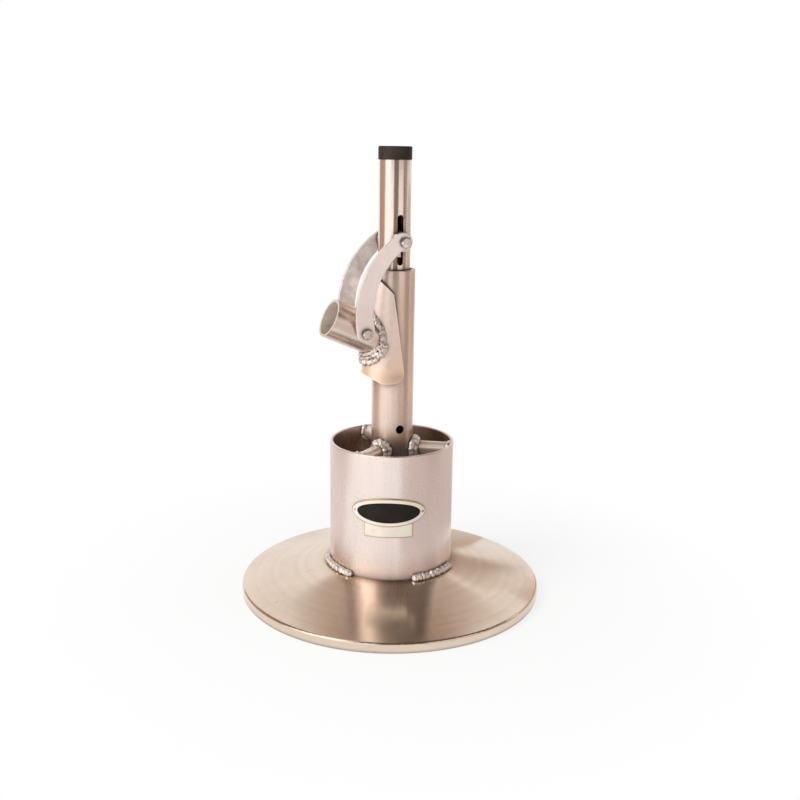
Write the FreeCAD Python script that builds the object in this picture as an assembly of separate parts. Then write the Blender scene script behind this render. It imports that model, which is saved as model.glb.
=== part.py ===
"""Hand-operated soil blocker: a dished base, an open mould cylinder, a slotted column
and a lever whose two curved links drive a plunger inside the mould.

Frame: origin at the centre of the base, on the plane it stands on.  +Z is up, the lever
swings in the XZ plane and its handle socket points to -X.  Every pivot runs along Y.
All lengths are millimetres, all angles are degrees.
"""
import FreeCAD
import Part
import math
import os

from FreeCAD import Vector

# Dished base
BASE_DIAMETER = 280.0
BASE_SHEET = 3.0
RIM_HEIGHT = 9.0
RIM_BEND_RADIUS = 2.4
DISH_RISE = 19.4
DISH_LAND_WIDTH = 1.5

# Mould cylinder
MOULD_DIAMETER = 114.3
MOULD_WALL = 3.0
MOULD_HEIGHT = 116.0

# Column: outer tube, guide tube and its cap
COLUMN_DIAMETER = 38.1
COLUMN_WALL = 3.0
COLUMN_HEIGHT_ABOVE_RIM = 158.0
COLUMN_DEPTH_IN_MOULD = 27.0
PEG_HOLE_DIAMETER = 8.0
PEG_HOLE_ABOVE_RIM = 14.1
GUIDE_DIAMETER = 28.6
GUIDE_WALL = 2.1
GUIDE_HEIGHT_ABOVE_COLUMN = 94.6
GUIDE_DEPTH_IN_COLUMN = 66.4
CAP_HEIGHT = 11.2
CAP_OVERHANG = 0.5
CAP_SKIRT_DEPTH = 12.0
CAP_EDGE_RADIUS = 1.4
SLOT_ABOVE_CROSSHEAD = 22.6
SLOT_BELOW_CROSSHEAD = 20.8

# Bushings
UPPER_BUSHING_LENGTH = 38.4
UPPER_BUSHING_RECESS = 3.6
ROD_BUSHING_LENGTH = 20.0

# Arms that carry the column over the mould
ARM_DIAMETER = 12.0
ARM_ANGLES = (-31.0, 93.0, 216.0)
ARM_BELOW_RIM = 6.0
ARM_WELD_LENGTH = 3.4
ARM_WELD_RADIUS = 8.2

# Stitch welds round the foot of the mould
STITCH_ANGLES = (-174.0, -68.0, 58.0)
STITCH_SPAN = 50.0
STITCH_LEG = 3.6

# Lever: pivot, shoe and handle socket
PIVOT_X = -11.0
PIVOT_BELOW_COLUMN_TOP = 83.4
PIVOT_PIN_DIAMETER = 8.0
SHOE_WALL = 2.0
SHOE_SIDE_CLEARANCE = 0.35
SHOE_TILT = 5.2
SHOE_TOP_BELOW_COLUMN_TOP = 11.4
SHOE_HEIGHT = 89.3
SHOE_TOP_SLOPE = 47.5
SHOE_BACK_ABOVE_TOP = 4.6
SHOE_EDGE_BELOW_TOP = 8.6
SHOE_CONTACT_ABOVE_TOP = 5.0
SHOE_EDGE_TOP_X = -8.0
SHOE_EDGE_BOTTOM_X = 3.7
SHOE_CORNER_RADIUS = 9.0
SHOE_TOP_CORNER_RADIUS = 3.0
SHOE_HEEL_X = -18.0
SHOE_HEEL_SLOPE = 32.0
SHOE_HEEL_RADIUS = 9.0
SOCKET_DIAMETER = 35.0
SOCKET_WALL = 2.2
SOCKET_BORE_DEPTH = 25.0
SOCKET_SHOULDER = 1.0
SOCKET_MOUTH_X = -60.9
SOCKET_MOUTH_BELOW_COLUMN_TOP = 41.3
SOCKET_RISE_ANGLE = 24.0
SOCKET_WELD_LEG = 2.4
SOCKET_WELD_HEEL = 8.0

# Links and their bolts
LINK_BOLT_FROM_MOUTH = 28.5
CROSSHEAD_ABOVE_COLUMN_TOP = 25.2
LINK_WIDTH = 16.2
LINK_TOP_WIDTH = 13.4
LINK_THICKNESS = 3.2
LINK_BULGE = 13.5
LINK_END_BACK = 1.9
LINK_END_UP = 1.4
LINK_SIDE_GAP = 0.35
OPEN_PIVOT_CLEARANCE = 0.6
BOLT_DIAMETER = 5.0
BOLT_HEAD_ACROSS = 8.4
BOLT_HEAD_HEIGHT = 3.6
NUT_HEIGHT = 4.2
BOLT_TIP = 1.2
SPACER_RADIUS = 8.6
BOSS_RADIUS = 4.6

# Plunger
CROSSHEAD_ABOVE_BOLT = 8.0
CROSSHEAD_BELOW_BOLT = 14.0
CROSSHEAD_CLEARANCE = 0.4
ROD_DIAMETER = 12.0
ROD_CLEARANCE = 0.4
ROD_IN_CROSSHEAD = 8.0
PLATE_THICKNESS = 6.0
PLATE_EDGE_GAP = 0.8
PLATE_BELOW_COLUMN = 20.0
PLATE_VENT_DIAMETER = 5.0
PLATE_VENT_COUNT = 6
PLATE_VENT_CIRCLE = 60.0
PLUNGER_NUT_ACROSS = 19.0
PLUNGER_NUT_HEIGHT = 10.0
ROD_TIP = 2.5

# Running fits
PIN_FIT = 0.05

# Levels and radii that follow from the sizes above
base_radius = BASE_DIAMETER / 2.0
seat_z = RIM_HEIGHT + DISH_RISE
mould_top_z = seat_z + MOULD_HEIGHT
mould_radius = MOULD_DIAMETER / 2.0
mould_bore = mould_radius - MOULD_WALL
land_radius = mould_radius + DISH_LAND_WIDTH
column_radius = COLUMN_DIAMETER / 2.0
column_bore = column_radius - COLUMN_WALL
column_top_z = mould_top_z + COLUMN_HEIGHT_ABOVE_RIM
column_bottom_z = mould_top_z - COLUMN_DEPTH_IN_MOULD
guide_radius = GUIDE_DIAMETER / 2.0
guide_bore = guide_radius - GUIDE_WALL
guide_top_z = column_top_z + GUIDE_HEIGHT_ABOVE_COLUMN
guide_bottom_z = column_top_z - GUIDE_DEPTH_IN_COLUMN
crosshead_z = column_top_z + CROSSHEAD_ABOVE_COLUMN_TOP
bolt_radius = BOLT_DIAMETER / 2.0
rod_radius = ROD_DIAMETER / 2.0
pivot_z = column_top_z - PIVOT_BELOW_COLUMN_TOP
pivot_radius = PIVOT_PIN_DIAMETER / 2.0
shoe_inner = column_radius + SHOE_SIDE_CLEARANCE
shoe_outer = shoe_inner + SHOE_WALL
shoe_top_z = column_top_z - SHOE_TOP_BELOW_COLUMN_TOP
shoe_bottom_z = shoe_top_z - SHOE_HEIGHT
socket_radius = SOCKET_DIAMETER / 2.0
socket_bore = socket_radius - SOCKET_WALL
link_inner_y = shoe_outer + LINK_SIDE_GAP
link_outer_y = link_inner_y + LINK_THICKNESS
head_y = link_outer_y + LINK_SIDE_GAP
plate_top_z = column_bottom_z - PLATE_BELOW_COLUMN
plate_bottom_z = plate_top_z - PLATE_THICKNESS
plate_radius = mould_bore - PLATE_EDGE_GAP
arm_z = mould_top_z - ARM_BELOW_RIM

rise = math.radians(SOCKET_RISE_ANGLE)
socket_axis_in = Vector(math.cos(rise), 0.0, -math.sin(rise))
socket_mouth = Vector(SOCKET_MOUTH_X, 0.0, column_top_z - SOCKET_MOUTH_BELOW_COLUMN_TOP)
link_pivot = socket_mouth + socket_axis_in * LINK_BOLT_FROM_MOUTH
crosshead = Vector(0.0, 0.0, crosshead_z)


def rod(radius, start, direction, length):
    """Round bar from a start point along a direction."""
    return Part.makeCylinder(radius, length, start, direction)


def pipe(outer, inner, z_low, z_high):
    """Upright tube about the column's axis."""
    low = Vector(0, 0, z_low)
    body = rod(outer, low, Vector(0, 0, 1), z_high - z_low)
    return body.cut(rod(inner, low, Vector(0, 0, 1), z_high - z_low))


def prism_xz(points, half_width):
    """Closed outline in the XZ plane, extruded evenly to both sides of Y = 0."""
    path = [Vector(x, -half_width, z) for x, z in points]
    wire = Part.makePolygon(path + [path[0]])
    return Part.Face(wire).extrude(Vector(0, 2.0 * half_width, 0))


def revolve_rz(points, start_angle, span):
    """Closed outline of radius and height, turned about Z."""
    path = [Vector(r, 0, z) for r, z in points]
    face = Part.Face(Part.makePolygon(path + [path[0]]))
    solid = face.revolve(Vector(0, 0, 0), Vector(0, 0, 1), span)
    solid.rotate(Vector(0, 0, 0), Vector(0, 0, 1), start_angle)
    return solid


def hexagon(across, start, direction_y, height):
    """Hexagonal prism along Y, with a flat on top, starting at a point."""
    corner = across / math.sqrt(3.0)
    path = []
    for i in range(6):
        a = math.radians(60.0 * i)
        path.append(start + Vector(corner * math.cos(a), 0, corner * math.sin(a)))
    face = Part.Face(Part.makePolygon(path + [path[0]]))
    return face.extrude(Vector(0, direction_y * height, 0))


def hexagon_z(across, z_low, height):
    """Hexagonal prism along Z on the column's axis."""
    corner = across / math.sqrt(3.0)
    path = []
    for i in range(6):
        a = math.radians(60.0 * i + 30.0)
        path.append(Vector(corner * math.cos(a), corner * math.sin(a), z_low))
    face = Part.Face(Part.makePolygon(path + [path[0]]))
    return face.extrude(Vector(0, 0, height))


def dished_face(solid, start, direction_y, across, height):
    """Hexagon rounded off at its outer end, as a forged head or nut is."""
    ball_radius = across * 0.86
    depth = math.sqrt(ball_radius ** 2 - (across / 2.0) ** 2)
    centre = start + Vector(0, direction_y * (height - ball_radius + (ball_radius - depth) * 0.75), 0)
    return solid.common(Part.makeSphere(ball_radius, centre))


def edges_where(shape, test):
    """Edges of a shape whose middle point passes a test."""
    found = []
    for edge in shape.Edges:
        middle = edge.valueAt((edge.FirstParameter + edge.LastParameter) / 2.0)
        if test(edge, middle):
            found.append(edge)
    return found


def is_ring(edge, radius, z):
    """True for a full circle of a radius about the column's axis at a level."""
    if not isinstance(edge.Curve, Part.Circle):
        return False
    same_radius = abs(edge.Curve.Radius - radius) < 0.01
    return same_radius and abs(edge.Curve.Center.z - z) < 0.01


def make_base():
    """Spun dish: a turned-down rim, a cone and a flat land round the mould's opening."""
    run = base_radius - land_radius
    slope = DISH_RISE / run
    drop = BASE_SHEET * math.sqrt(1.0 + slope * slope)
    inner_rim = base_radius - BASE_SHEET
    inner_rim_z = RIM_HEIGHT + BASE_SHEET * slope - drop
    land_under = seat_z - BASE_SHEET
    inner_land_r = base_radius - (land_under + drop - RIM_HEIGHT) / slope
    outline = [
        (base_radius, 0.0),
        (base_radius, RIM_HEIGHT),
        (land_radius, seat_z),
        (mould_bore, seat_z),
        (mould_bore, land_under),
        (inner_land_r, land_under),
        (inner_rim, inner_rim_z),
        (inner_rim, 0.0),
    ]
    dish = revolve_rz(outline, 0.0, 360.0)
    corner = edges_where(dish, lambda e, m: is_ring(e, base_radius, RIM_HEIGHT))
    return dish.makeFillet(RIM_BEND_RADIUS, corner)


def make_mould():
    """Open tube that stands on the land of the dish."""
    tube = pipe(mould_radius, mould_bore, seat_z, mould_top_z)
    lip = edges_where(tube, lambda e, m: is_ring(e, mould_radius, mould_top_z)
                      or is_ring(e, mould_bore, mould_top_z))
    return tube.makeFillet(0.7, lip)


def make_stitches():
    """Fillet welds laid in stitches between the mould's foot and the dish."""
    run = base_radius - land_radius
    slope = DISH_RISE / run
    toe_r = mould_radius + STITCH_LEG
    toe_z = seat_z - max(0.0, toe_r - land_radius) * slope
    outline = [
        (mould_radius, seat_z),
        (land_radius, seat_z),
        (toe_r, toe_z),
        (mould_radius + STITCH_LEG * 0.72, seat_z + STITCH_LEG * 0.52),
        (mould_radius + STITCH_LEG * 0.34, seat_z + STITCH_LEG * 0.86),
        (mould_radius, seat_z + STITCH_LEG),
    ]
    beads = []
    for middle in STITCH_ANGLES:
        beads.append(revolve_rz(outline, middle - STITCH_SPAN / 2.0, STITCH_SPAN))
    return Part.makeCompound(beads)


def make_column():
    """Outer tube with its peg hole and the cross holes for the lever's pin."""
    tube = pipe(column_radius, column_bore, column_bottom_z, column_top_z)
    hole_start = Vector(0, 0, mould_top_z + PEG_HOLE_ABOVE_RIM)
    tube = tube.cut(rod(PEG_HOLE_DIAMETER / 2.0, hole_start, Vector(0, -1, 0), COLUMN_DIAMETER))
    pin_start = Vector(PIVOT_X, -COLUMN_DIAMETER, pivot_z)
    tube = tube.cut(rod(pivot_radius, pin_start, Vector(0, 1, 0), 2.0 * COLUMN_DIAMETER))
    lip = edges_where(tube, lambda e, m: is_ring(e, column_radius, column_top_z))
    return tube.makeFillet(0.6, lip)


def make_guide():
    """Inner tube with a long slot through its front and rear walls."""
    tube = pipe(guide_radius, guide_bore, guide_bottom_z, guide_top_z)
    half = bolt_radius + LINK_SIDE_GAP
    low = crosshead_z - SLOT_BELOW_CROSSHEAD + half
    high = crosshead_z + SLOT_ABOVE_CROSSHEAD - half
    start = Vector(0, -guide_radius - 1.0, 0)
    through = 2.0 * guide_radius + 2.0
    slot = Part.makeBox(2.0 * half, through, high - low, Vector(-half, start.y, low))
    for z in (low, high):
        slot = slot.fuse(rod(half, Vector(0, start.y, z), Vector(0, 1, 0), through))
    return tube.cut(slot.removeSplitter())


def make_cap():
    """Plug that closes the guide tube: a rounded head and a skirt in the bore."""
    head = rod(guide_radius + CAP_OVERHANG, Vector(0, 0, guide_top_z), Vector(0, 0, 1), CAP_HEIGHT)
    top = guide_top_z + CAP_HEIGHT
    edge = edges_where(head, lambda e, m: is_ring(e, guide_radius + CAP_OVERHANG, top))
    head = head.makeFillet(CAP_EDGE_RADIUS, edge)
    low = Vector(0, 0, guide_top_z - CAP_SKIRT_DEPTH)
    return head.fuse(rod(guide_bore, low, Vector(0, 0, 1), CAP_SKIRT_DEPTH)).removeSplitter()


def arm_frame(index):
    """Direction of one arm, seen from above."""
    angle = math.radians(ARM_ANGLES[index])
    return Vector(math.cos(angle), math.sin(angle), 0.0)


def make_arm(index):
    """Round bar coped to the column at one end and to the mould's bore at the other."""
    out = arm_frame(index)
    bar = rod(ARM_DIAMETER / 2.0, Vector(0, 0, arm_z), out, mould_bore)
    bore = rod(mould_bore, Vector(0, 0, arm_z - ARM_DIAMETER), Vector(0, 0, 1), 2.0 * ARM_DIAMETER)
    core = rod(column_radius, Vector(0, 0, arm_z - ARM_DIAMETER), Vector(0, 0, 1), 2.0 * ARM_DIAMETER)
    return bar.common(bore).cut(core)


def make_arm_welds():
    """A bead round both ends of every arm."""
    tall = 4.0 * ARM_WELD_RADIUS
    low = Vector(0, 0, arm_z - tall / 2.0)
    core = rod(column_radius, low, Vector(0, 0, 1), tall)
    bore = rod(mould_bore, low, Vector(0, 0, 1), tall)
    arm_radius = ARM_DIAMETER / 2.0
    beads = []
    for i in range(len(ARM_ANGLES)):
        out = arm_frame(i)
        bar = rod(arm_radius, Vector(0, 0, arm_z), out, mould_radius)
        level = Vector(0, 0, arm_z)
        inner_start = column_radius + ARM_WELD_LENGTH
        near = Part.makeCone(ARM_WELD_RADIUS + 1.6, arm_radius + 0.5, inner_start, level, out)
        beads.append(near.cut(core).cut(bar))
        reach = mould_bore - ARM_WELD_LENGTH
        far = Part.makeCone(arm_radius + 0.5, ARM_WELD_RADIUS, ARM_WELD_LENGTH, level + out * reach, out)
        beads.append(far.common(bore).cut(bar))
    return Part.makeCompound(beads)


def shoe_profile(radius, reach):
    """U outline about the shoe's axis: a half round to -X with straight sides to +X."""
    half = Part.Arc(Vector(0, radius, 0), Vector(-radius, 0, 0), Vector(0, -radius, 0)).toShape()
    lower = Part.makeLine(Vector(0, -radius, 0), Vector(reach, -radius, 0))
    front = Part.makeLine(Vector(reach, -radius, 0), Vector(reach, radius, 0))
    upper = Part.makeLine(Vector(reach, radius, 0), Vector(0, radius, 0))
    return Part.Face(Part.Wire([half, lower, front, upper]))


def shoe_prism(radius):
    """The U outline drawn out along the leaning axis of the shoe, longer than the shoe."""
    spare = 40.0
    reach = column_radius + 30.0
    length = SHOE_HEIGHT + 2.0 * spare
    prism = shoe_profile(radius, reach).extrude(Vector(0, 0, length))
    prism.translate(Vector(0, 0, -SHOE_HEIGHT - SHOE_CONTACT_ABOVE_TOP - spare))
    prism.rotate(Vector(0, 0, 0), Vector(0, 1, 0), SHOE_TILT)
    prism.translate(Vector(0, 0, shoe_top_z + SHOE_CONTACT_ABOVE_TOP))
    return prism


def make_shoe():
    """Half-round saddle with sloping edges, drilled for the pivot pin."""
    shell = shoe_prism(shoe_outer).cut(shoe_prism(shoe_inner))
    back_x = -3.0 * shoe_outer
    edge_top_z = shoe_top_z - SHOE_EDGE_BELOW_TOP
    crown_z = shoe_top_z + SHOE_BACK_ABOVE_TOP
    crown_x = SHOE_EDGE_TOP_X - (crown_z - edge_top_z) / math.tan(math.radians(SHOE_TOP_SLOPE))
    heel_z = shoe_bottom_z + (SHOE_HEEL_X - back_x) * math.tan(math.radians(SHOE_HEEL_SLOPE))
    outline = [
        (back_x, heel_z),
        (SHOE_HEEL_X, shoe_bottom_z),
        (SHOE_EDGE_BOTTOM_X, shoe_bottom_z),
        (SHOE_EDGE_TOP_X, edge_top_z),
        (crown_x, crown_z),
        (back_x, crown_z),
    ]
    blank = prism_xz(outline, 2.0 * shoe_outer)
    low = edges_where(blank, lambda e, m: abs(m.x - SHOE_EDGE_BOTTOM_X) < 0.01
                      and abs(m.z - shoe_bottom_z) < 0.01 and abs(m.y) < 0.01)
    blank = blank.makeFillet(SHOE_CORNER_RADIUS, low)
    high = edges_where(blank, lambda e, m: abs(m.x - SHOE_EDGE_TOP_X) < 0.01
                       and abs(m.z - edge_top_z) < 0.01 and abs(m.y) < 0.01)
    blank = blank.makeFillet(SHOE_TOP_CORNER_RADIUS, high)
    heel = edges_where(blank, lambda e, m: abs(m.x - SHOE_HEEL_X) < 0.01
                       and abs(m.z - shoe_bottom_z) < 0.01 and abs(m.y) < 0.01)
    blank = blank.makeFillet(SHOE_HEEL_RADIUS, heel)
    shoe = shell.common(blank)
    start = Vector(PIVOT_X, -2.0 * shoe_outer, pivot_z)
    return shoe.cut(rod(pivot_radius + PIN_FIT, start, Vector(0, 1, 0), 4.0 * shoe_outer))


def make_socket():
    """Short tube for the handle, with a shoulder inside, coped to the shoe and drilled."""
    length = 70.0
    tube = rod(socket_radius, socket_mouth, socket_axis_in, length)
    tube = tube.cut(rod(socket_bore, socket_mouth, socket_axis_in, SOCKET_BORE_DEPTH))
    tube = tube.cut(rod(socket_bore - SOCKET_SHOULDER, socket_mouth, socket_axis_in, length))
    tube = tube.cut(shoe_prism(shoe_outer))
    start = link_pivot - Vector(0, socket_radius * 1.5, 0)
    tube = tube.cut(rod(bolt_radius, start, Vector(0, 1, 0), socket_radius * 3.0))
    return tube


def make_socket_weld():
    """Bead that follows the joint between the socket and the shoe."""
    length = 70.0
    ring = rod(socket_radius + SOCKET_WELD_LEG, socket_mouth, socket_axis_in, length)
    ring = ring.cut(rod(socket_radius, socket_mouth, socket_axis_in, length))
    drop = socket_mouth - Vector(0, 0, SOCKET_WELD_HEEL / 2.0)
    heel = rod(socket_radius + SOCKET_WELD_HEEL / 2.0, drop, socket_axis_in, length)
    heel = heel.cut(rod(socket_radius, socket_mouth, socket_axis_in, length))
    bead = ring.fuse(heel).common(shoe_prism(shoe_outer + SOCKET_WELD_LEG))
    bead = bead.cut(shoe_prism(shoe_outer))
    limit = Part.makeBox(60.0, 4.0 * shoe_outer, 90.0, Vector(-60.0, -2.0 * shoe_outer, shoe_bottom_z))
    return bead.common(limit)


def make_link(side):
    """Curved flat link from the crosshead to the socket, with rounded ends."""
    end_centre = crosshead + Vector(-LINK_END_BACK, 0, LINK_END_UP)
    chord = link_pivot - end_centre
    length = chord.Length
    along = chord * (1.0 / length)
    across = Vector(along.z, 0, -along.x)
    if across.x > 0:
        across = across * -1.0
    radius = (length * length / 4.0 + LINK_BULGE ** 2) / (2.0 * LINK_BULGE)
    middle = end_centre + along * (length / 2.0)
    centre = middle - across * (radius - LINK_BULGE)
    half = LINK_WIDTH / 2.0
    top_half = LINK_TOP_WIDTH / 2.0
    mid_half = (2.0 * half + top_half) / 3.0
    y = link_inner_y if side > 0 else -link_outer_y

    def on_arc(point, shift):
        out = point - centre
        out = out * (1.0 / out.Length)
        return Vector(point.x + out.x * shift, y, point.z + out.z * shift)

    crest = middle + across * LINK_BULGE
    top_out = on_arc(end_centre, top_half)
    top_in = on_arc(end_centre, -top_half)
    low_out = on_arc(link_pivot, half)
    low_in = on_arc(link_pivot, -half)
    tangent_top = (end_centre - centre).cross(Vector(0, 1, 0))
    tangent_top.normalize()
    if tangent_top.dot(along) > 0:
        tangent_top = tangent_top * -1.0
    tangent_low = (link_pivot - centre).cross(Vector(0, 1, 0))
    tangent_low.normalize()
    if tangent_low.dot(along) < 0:
        tangent_low = tangent_low * -1.0
    back = end_centre + tangent_top * top_half
    tip = link_pivot + tangent_low * half
    outline = Part.Wire([
        Part.Arc(top_out, on_arc(crest, mid_half), low_out).toShape(),
        Part.Arc(low_out, Vector(tip.x, y, tip.z), low_in).toShape(),
        Part.Arc(low_in, on_arc(crest, -mid_half), top_in).toShape(),
        Part.Arc(top_in, Vector(back.x, y, back.z), top_out).toShape(),
    ])
    plate = Part.Face(outline).extrude(Vector(0, LINK_THICKNESS, 0))
    rims = edges_where(plate, lambda e, m: not isinstance(e.Curve, Part.Line))
    plate = plate.makeFillet(0.5, rims)
    top_hole = rod(bolt_radius + PIN_FIT, Vector(crosshead.x, y - 1, crosshead.z), Vector(0, 1, 0), 9)
    low_radius = bolt_radius + OPEN_PIVOT_CLEARANCE
    low_hole = rod(low_radius, Vector(link_pivot.x, y - 1, link_pivot.z), Vector(0, 1, 0), 9)
    return plate.cut(top_hole).cut(low_hole)


def make_bolt(at):
    """Hexagon-headed bolt along Y with its head at the front."""
    length = 2.0 * head_y + NUT_HEIGHT + BOLT_TIP
    shank = rod(bolt_radius, at - Vector(0, head_y, 0), Vector(0, 1, 0), length)
    tip = edges_where(shank, lambda e, m: isinstance(e.Curve, Part.Circle) and m.y > head_y)
    shank = shank.makeChamfer(0.5, tip)
    start = at - Vector(0, head_y, 0)
    head = hexagon(BOLT_HEAD_ACROSS, start, -1.0, BOLT_HEAD_HEIGHT)
    head = dished_face(head, start, -1.0, BOLT_HEAD_ACROSS, BOLT_HEAD_HEIGHT)
    return shank.fuse(head).removeSplitter()


def make_nut(at):
    """Nut on the rear end of a bolt."""
    start = at + Vector(0, head_y, 0)
    nut = hexagon(BOLT_HEAD_ACROSS, start, 1.0, NUT_HEIGHT)
    nut = dished_face(nut, start, 1.0, BOLT_HEAD_ACROSS, NUT_HEIGHT)
    return nut.cut(rod(bolt_radius, start, Vector(0, 1, 0), NUT_HEIGHT * 2.0))


def make_spacer(side):
    """Ring on the crosshead bolt between the guide tube and a link."""
    near = guide_radius + LINK_SIDE_GAP
    far = link_inner_y - LINK_SIDE_GAP
    start = crosshead + Vector(0, side * near, 0)
    ring = rod(SPACER_RADIUS, start, Vector(0, side, 0), far - near)
    return ring.cut(rod(bolt_radius, start, Vector(0, side, 0), far - near))


def make_socket_boss(side):
    """Boss on the side of the socket that carries the link bolt out to a link."""
    far = link_inner_y - LINK_SIDE_GAP
    boss = rod(BOSS_RADIUS, link_pivot, Vector(0, side, 0), far)
    boss = boss.cut(rod(socket_radius, socket_mouth, socket_axis_in, 60.0))
    return boss.cut(rod(bolt_radius, link_pivot, Vector(0, side, 0), far + 1.0))


def make_crosshead():
    """Block that slides in the guide tube and takes the bolt and the rod."""
    low = crosshead_z - CROSSHEAD_BELOW_BOLT
    tall = CROSSHEAD_BELOW_BOLT + CROSSHEAD_ABOVE_BOLT
    block = rod(guide_bore - CROSSHEAD_CLEARANCE, Vector(0, 0, low), Vector(0, 0, 1), tall)
    block = block.cut(rod(rod_radius, Vector(0, 0, low), Vector(0, 0, 1), ROD_IN_CROSSHEAD))
    start = crosshead - Vector(0, guide_radius, 0)
    return block.cut(rod(bolt_radius, start, Vector(0, 1, 0), GUIDE_DIAMETER))


def make_push_rod():
    """Bar from the crosshead down to the plunger plate and its lower nut."""
    top = crosshead_z - CROSSHEAD_BELOW_BOLT + ROD_IN_CROSSHEAD
    bottom = plate_bottom_z - PLUNGER_NUT_HEIGHT - ROD_TIP
    bar = rod(rod_radius, Vector(0, 0, bottom), Vector(0, 0, 1), top - bottom)
    tip = edges_where(bar, lambda e, m: is_ring(e, rod_radius, bottom))
    return bar.makeChamfer(1.0, tip)


def make_plate():
    """Round plate that presses the soil, with vents for the air under it."""
    plate = rod(plate_radius, Vector(0, 0, plate_bottom_z), Vector(0, 0, 1), PLATE_THICKNESS)
    edge = edges_where(plate, lambda e, m: is_ring(e, plate_radius, plate_top_z)
                       or is_ring(e, plate_radius, plate_bottom_z))
    plate = plate.makeFillet(0.8, edge)
    plate = plate.cut(rod(rod_radius, Vector(0, 0, plate_bottom_z - 1), Vector(0, 0, 1), 20.0))
    for i in range(PLATE_VENT_COUNT):
        a = math.radians(360.0 * i / PLATE_VENT_COUNT)
        r = PLATE_VENT_CIRCLE / 2.0
        at = Vector(r * math.cos(a), r * math.sin(a), plate_bottom_z - 1)
        plate = plate.cut(rod(PLATE_VENT_DIAMETER / 2.0, at, Vector(0, 0, 1), 20.0))
    return plate


def make_plunger_nut(z_low):
    """Large nut on the rod above or below the plate."""
    nut = hexagon_z(PLUNGER_NUT_ACROSS, z_low, PLUNGER_NUT_HEIGHT)
    return nut.cut(rod(rod_radius, Vector(0, 0, z_low - 1), Vector(0, 0, 1), PLUNGER_NUT_HEIGHT + 2))


def make_pivot_pin():
    """Plain pin across the column, dressed flush with the sides of the shoe."""
    half = shoe_outer - 0.1
    return rod(pivot_radius, Vector(PIVOT_X, -half, pivot_z), Vector(0, 1, 0), 2.0 * half)


def make_upper_bushing():
    """Sleeve that fills the gap between the column and the guide tube."""
    top = column_top_z - UPPER_BUSHING_RECESS
    return pipe(column_bore, guide_radius, top - UPPER_BUSHING_LENGTH, top)


def make_rod_bushing():
    """Bearing for the rod in the lower end of the column."""
    top = column_bottom_z + ROD_BUSHING_LENGTH
    return pipe(column_bore, rod_radius + ROD_CLEARANCE, column_bottom_z, top)


nodes = {
    "base_dish": make_base(),
    "mould_cylinder": make_mould(),
    "foot_welds": make_stitches(),
    "column_tube": make_column(),
    "guide_tube": make_guide(),
    "end_cap": make_cap(),
    "upper_bushing": make_upper_bushing(),
    "rod_bushing": make_rod_bushing(),
    "arm_right": make_arm(0),
    "arm_rear": make_arm(1),
    "arm_left": make_arm(2),
    "arm_welds": make_arm_welds(),
    "pivot_pin": make_pivot_pin(),
    "lever_shoe": make_shoe(),
    "handle_socket": make_socket(),
    "socket_weld": make_socket_weld(),
    "boss_front": make_socket_boss(-1),
    "boss_rear": make_socket_boss(1),
    "link_bolt": make_bolt(link_pivot),
    "link_nut": make_nut(link_pivot),
    "front_link": make_link(-1),
    "rear_link": make_link(1),
    "crosshead_block": make_crosshead(),
    "crosshead_bolt": make_bolt(crosshead),
    "crosshead_nut": make_nut(crosshead),
    "spacer_front": make_spacer(-1),
    "spacer_rear": make_spacer(1),
    "push_rod": make_push_rod(),
    "plunger_plate": make_plate(),
    "plunger_nut_upper": make_plunger_nut(plate_top_z),
    "plunger_nut_lower": make_plunger_nut(plate_bottom_z - PLUNGER_NUT_HEIGHT),
}

os.makedirs("parts", exist_ok=True)
for name, shape in nodes.items():
    shape.exportStep("parts/" + name + ".step")
    print(name, len(shape.Solids), round(shape.Volume, 1), shape.isValid())
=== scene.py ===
"""Dressed scene of a hand-operated soil blocker.

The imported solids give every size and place.  The classes below dress them: the welded
frame, the lever with its socket, the pair of curved links, the plunger and the studio.
All lengths are metres in the frame of the object: +Z up, the lever towards -X.
"""
import logging
import math
from dataclasses import dataclass, replace
from enum import Enum

import bmesh
import bpy
from mathutils import Matrix, Vector, noise

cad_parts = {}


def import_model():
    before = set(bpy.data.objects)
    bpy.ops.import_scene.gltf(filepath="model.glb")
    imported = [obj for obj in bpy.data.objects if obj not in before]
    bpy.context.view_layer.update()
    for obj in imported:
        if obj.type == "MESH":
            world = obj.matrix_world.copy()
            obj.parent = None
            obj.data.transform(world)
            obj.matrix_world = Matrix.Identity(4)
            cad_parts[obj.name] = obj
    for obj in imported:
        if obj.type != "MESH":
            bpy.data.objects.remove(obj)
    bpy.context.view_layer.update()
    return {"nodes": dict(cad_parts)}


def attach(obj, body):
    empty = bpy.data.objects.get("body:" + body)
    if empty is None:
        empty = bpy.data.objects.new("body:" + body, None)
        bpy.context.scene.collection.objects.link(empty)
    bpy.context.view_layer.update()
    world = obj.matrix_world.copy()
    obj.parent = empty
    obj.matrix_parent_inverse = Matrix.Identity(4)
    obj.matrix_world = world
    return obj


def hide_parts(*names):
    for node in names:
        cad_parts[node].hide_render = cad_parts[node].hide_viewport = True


Tree = bpy.types.NodeTree
Socket = bpy.types.NodeSocket
Node = bpy.types.Node
Piece = bpy.types.Object
Work = bmesh.types.BMesh
Colour = tuple[float, float, float]
Input = bpy.types.NodeSocket | float

LOG = logging.getLogger("soil_blocker")
MM = 0.001
UP = Vector((0.0, 0.0, 1.0))

# Edges that turn further than this many degrees.
SHARP_NEW = 34.0        # stay sharp on a new piece
SHARP_PACKED = 28.0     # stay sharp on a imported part
SOFTENED = 40.0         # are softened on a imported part

MERGE_DISTANCE = 1e-6
SLIVER = 1e-7

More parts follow.
